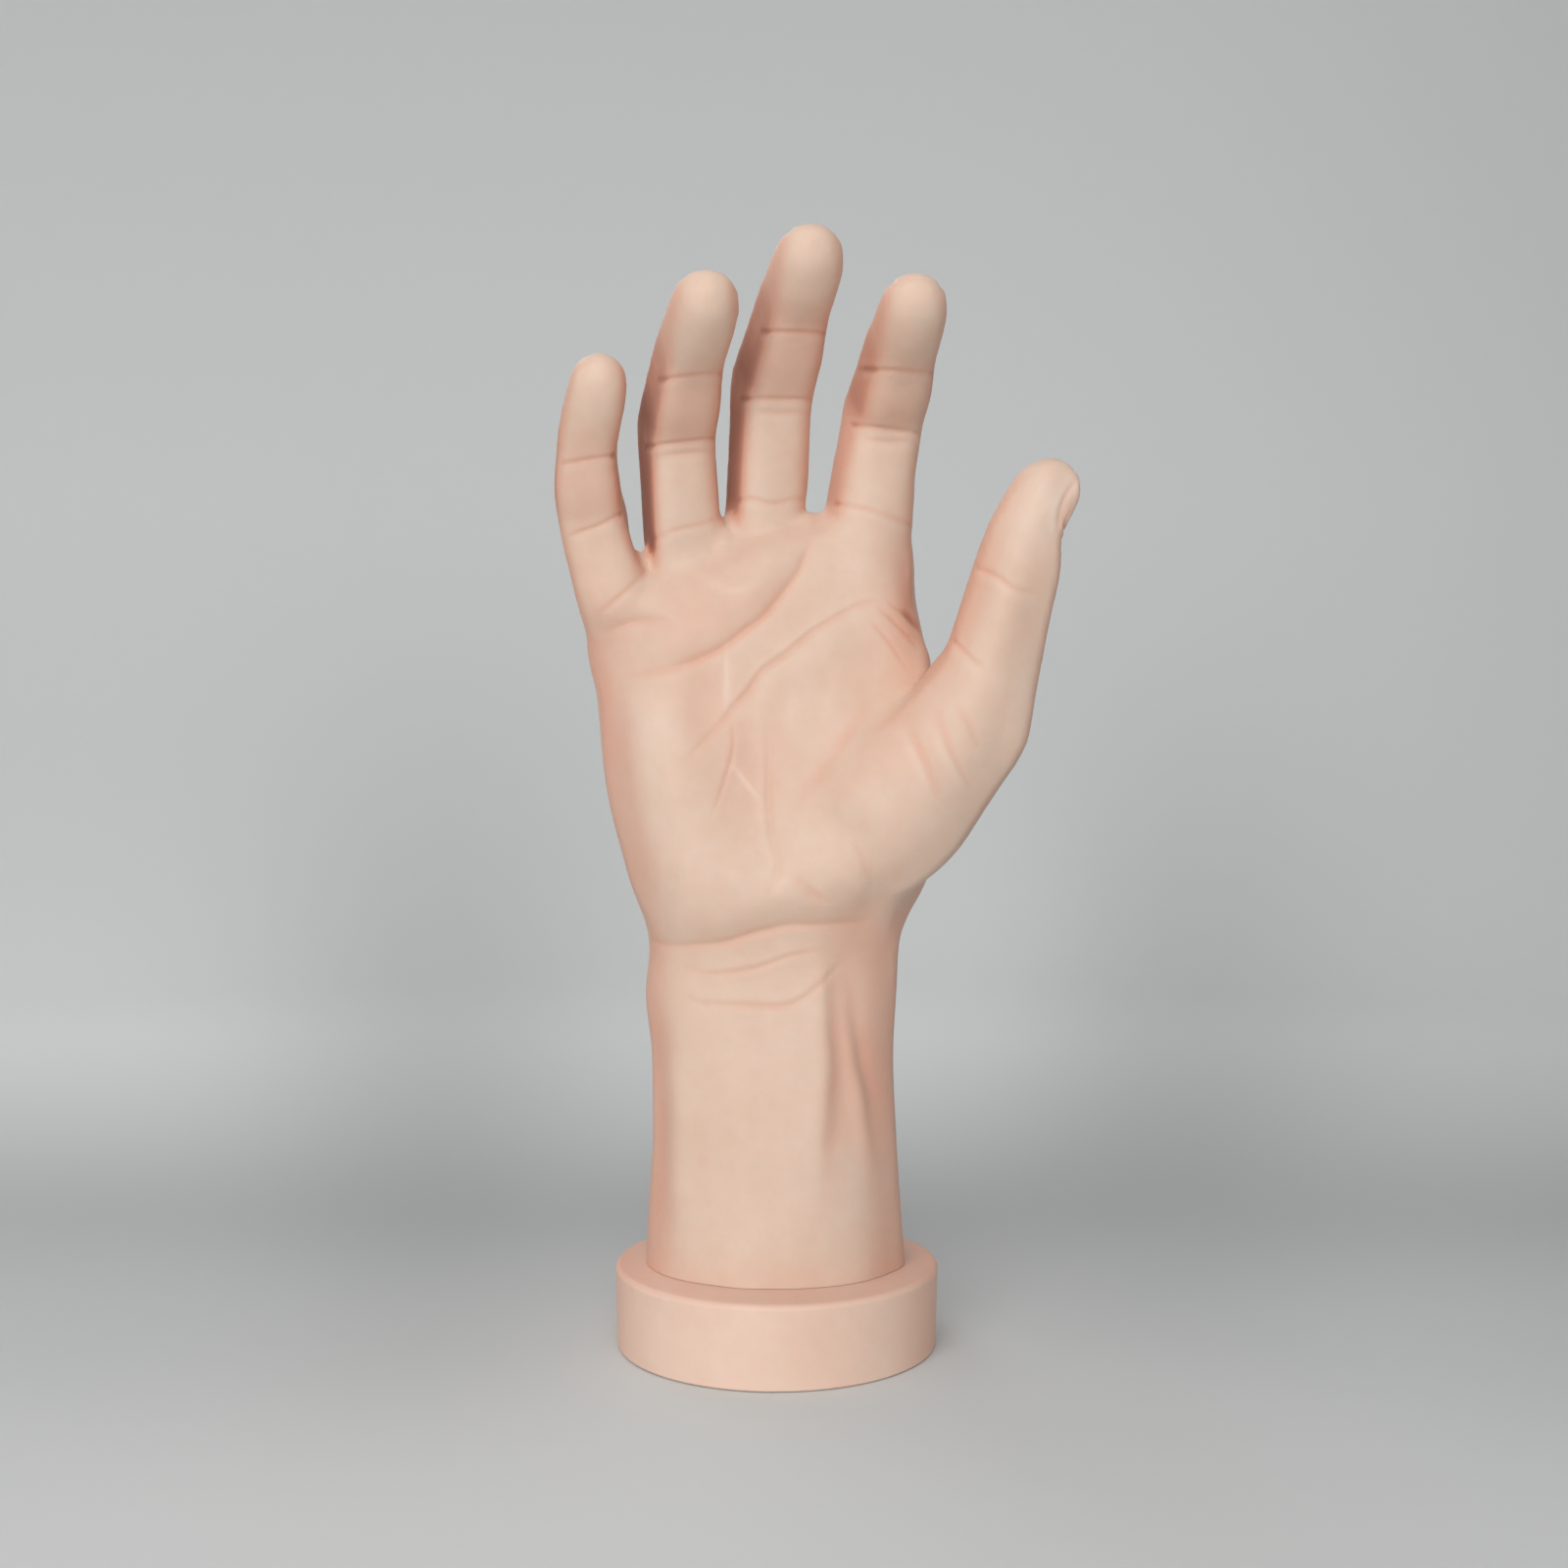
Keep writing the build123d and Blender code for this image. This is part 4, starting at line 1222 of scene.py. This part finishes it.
def castIron(name):
    # cast weight: dark, with lighter worn grains and a rough skin
    finish = Finish(name, Metallic=0.85)
    skin = finish.noise(ironForm["grain"], detail=5.0, roughness=0.65)
    worn = finish.ramp(skin, low=0.5, high=0.78)
    finish.drive("Base Color", finish.tint(worn, ironForm["dark"], ironForm["worn"]))
    finish.drive("Roughness", ironForm["roughness"] - ironForm["wornSmooth"] * worn)
    finish.bump(skin, ironForm["depth"], strength=0.8)
    return finish.material


def softPad(name):
    # dark foam with open cells
    finish = Finish(name, IOR=1.5)
    pattern = {"Vector": finish.place, "Scale": foamForm["cells"]}
    cells = finish.node("ShaderNodeTexVoronoi", {}, pattern, "Distance")
    finish.drive("Base Color", finish.tint(cells, foamForm["dark"], foamForm["light"]))
    finish.drive("Roughness", foamForm["roughness"] + cells * foamForm["cellRough"])
    finish.bump(cells, foamForm["depth"], strength=0.8)
    return finish.material


dress("base_shell", vinylFinish("baseVinyl", False))
for piece, plastic in plastics.items():
    dress(piece, plainPlastic(*plastic))
dress("foot_pad", softPad("padFoam"))
dress("ballast_ring", castIron("castIron"))
steel = turnedSteel("turnedSteel")
for piece in ("swivel_post", "retaining_washer", "retaining_screw", "cover_screws"):
    dress(piece, steel)
print("base dressed")


# Floor, backdrop, light and camera

studio = {  # lengths in metres
    "floor": 0.85,  # radius of the level floor
    "innermost": 0.001,
    "bend": 0.4,  # radius of the sweep between floor and wall
    "height": 1.7,
    "floorRings": 48, "bendRings": 24, "wallRings": 24, "sides": 120,
    "paper": colour(215, 216, 215),
    # colour of the painted shadows and shade on the paper
    "dark": colour(84, 85, 86),
    "behind": (-0.15, 0.0),
    "glow": 0.174, "glowBehind": (0.0, 0.6),  # painted light: the wall's paper glows, though it is no lamp
    # painted light: the floor's paper glows faintly too
    "floorGlow": 0.02, "floorGlowTop": (0.3, 0.0),
    "glowColour": (0.99, 1, 1, 1),
}
# painted shadows and shade on the backdrop, as the photograph shows them: the hand's two cast shadows, shade
# at the bend, behind the foot, on the left floor and to the right, and a painted light patch beside the hand;
# pixel, radii in pixels, and the share by which each darkens the paper, or brightens it where it is below 0
shades = {
    "leftPatch": {"at": (450, 1115), "radii": (190, 340), "depth": 0.26},
    "rightPatch": {"at": (1195, 1090), "radii": (200, 330), "depth": 0.23},
    "rightHalo": {"at": (1030, 950), "radii": (110, 160), "depth": -0.08},
    "bend": {"at": (800, 1235), "radii": (4000, 70), "depth": 0.14},
    "foot": {"at": (790, 1240), "radii": (210, 60), "depth": 0.14},
    "leftFloor": {"at": (100, 1350), "radii": (380, 170), "depth": 0.12},
    "rightSide": {"at": (1900, 700), "radii": (600, 2000), "depth": 0.2},
}


def sweepShading(points):
    # painted shadow and shade: how much darker the paper is painted, in bell-shaped patches where the
    # photograph's eye sees them, behind the hand
    behind = smoothStep(*studio["behind"], points[:, 1])
    spots = seenAt(np.where(behind[:, None] > 0, points * metre, (0.0, 0.0, 0.0)))[0]
    light = np.ones(len(points))
    for patch in shades.values():
        right, down = ((spots - np.array(patch["at"], float)) / np.array(patch["radii"])).T
        light *= 1 - patch["depth"] * np.exp(-(right**2) - down**2) * behind
    return 1 - light


def makeSweep():
    # a profile of floor, quarter circle and wall, carried round the upright axis
    bend = studio["bend"]
    turn = np.linspace(0, np.pi / 2, studio["bendRings"])[1:]
    floor = np.linspace(studio["innermost"], studio["floor"], studio["floorRings"])
    wall = np.linspace(bend, studio["height"], studio["wallRings"])[1:]
    bent = studio["floor"] + bend * np.sin(turn)
    radii = np.concatenate((floor, bent, np.full(len(wall), studio["floor"] + bend)))
    heights = np.concatenate((np.zeros(len(floor)), bend - bend * np.cos(turn), wall))
    sides = studio["sides"]
    angles = np.arange(sides) * 2 * np.pi / sides
    around = np.stack((np.cos(angles), np.sin(angles)), 1)
    rings = np.concatenate([np.column_stack((around * r, np.full(sides, h))) for r, h in zip(radii, heights)])
    first = np.arange(len(radii) - 1)[:, None] * sides
    start = (first + np.arange(sides)).ravel()
    after = (first + (np.arange(sides) + 1) % sides).ravel()
    faces = np.stack((start, after, after + sides, start + sides), 1)
    mesh = bpy.data.meshes.new("sweep")
    mesh.from_pydata(rings.tolist(), [], faces.tolist())
    mesh.shade_smooth()
    # painted shadows on the paper, and painted light where it glows
    paintedShading = sweepShading(rings)
    glow = studio["glow"] * (1 - paintedShading) * smoothStep(*studio["glowBehind"], rings[:, 1])
    floorGlow = studio["floorGlow"] * (1 - paintedShading) * smoothStep(*studio["floorGlowTop"], rings[:, 2])
    for name, values in (("paintedShading", paintedShading), ("glow", np.maximum(glow, floorGlow))):
        layer = mesh.attributes.new(name, "FLOAT", "POINT")
        layer.data.foreach_set("value", values.astype(np.float32))
    sweep = bpy.data.objects.new("sweep", mesh)
    bpy.context.scene.collection.objects.link(sweep)
    finish = Finish("sweepPaper", Roughness=0.9, Specular_IOR_Level=0.1, Emission_Strength=1.0)
    finish.drive("Base Color", finish.tint(finish.attribute("paintedShading"), studio["paper"], studio["dark"]))
    finish.drive("Emission Color", finish.tint(finish.attribute("glow"), (0, 0, 0, 1), studio["glowColour"]))
    finish.material.cycles.emission_sampling = "NONE"  # too faint to be sampled as a lamp
    mesh.materials.append(finish.material)


lamps = {  # metres
    "frontLamp": {"at": (-0.2, -0.95, 0.42), "size": (0.9, 0.6), "watts": 4.25},
    "leftLamp": {"at": (-0.95, -0.3, 0.4), "size": (0.4, 0.5), "watts": 0.15},
    "topLamp": {"at": (-0.05, -0.35, 1.1), "size": (0.6, 0.5), "watts": 1.0},
    "backLamp": {"at": (-0.5, 0.75, 0.85), "size": (0.6, 0.5), "watts": 0.9},
}
lampSpread = 140.0  # degrees
aim = Vector((0.0, 0.0, 0.14))
worldLight = {"colour": (0.92, 0.96, 1.0, 1.0), "strength": 0.3}


def makeLight():
    # soft boxes turned to the middle of the object, and a faint even world
    for name, lamp in lamps.items():
        data = bpy.data.lights.new(name, "AREA")
        data.shape = "RECTANGLE"
        data.size, data.size_y = lamp["size"]
        data.energy = lamp["watts"]
        data.spread = math.radians(lampSpread)
        light = bpy.data.objects.new(name, data)
        light.location = lamp["at"]
        light.rotation_euler = (aim - Vector(lamp["at"])).to_track_quat("-Z", "Y").to_euler()
        light.visible_camera = False
        bpy.context.scene.collection.objects.link(light)
    world = bpy.data.worlds.new("studioWorld")
    world.use_nodes = True
    background = world.node_tree.nodes["Background"]
    background.inputs["Color"].default_value = worldLight["colour"]
    background.inputs["Strength"].default_value = worldLight["strength"]
    bpy.context.scene.world = world


def makeCamera():
    # level, at the photograph's eye and with its angle of view
    data = bpy.data.cameras.new("camera")
    data.sensor_width = 36.0
    data.lens = data.sensor_width * photo["focal"] / photo["side"]
    data.clip_start = 0.01
    camera = bpy.data.objects.new("camera", data)
    camera.location = Vector(photo["eye"]) / metre
    camera.rotation_euler = (math.pi / 2, 0, 0)
    bpy.context.scene.collection.objects.link(camera)
    bpy.context.scene.camera = camera


makeSweep()
makeLight()
makeCamera()
bpy.context.scene.view_settings.view_transform = "Standard"
print("studio ready")
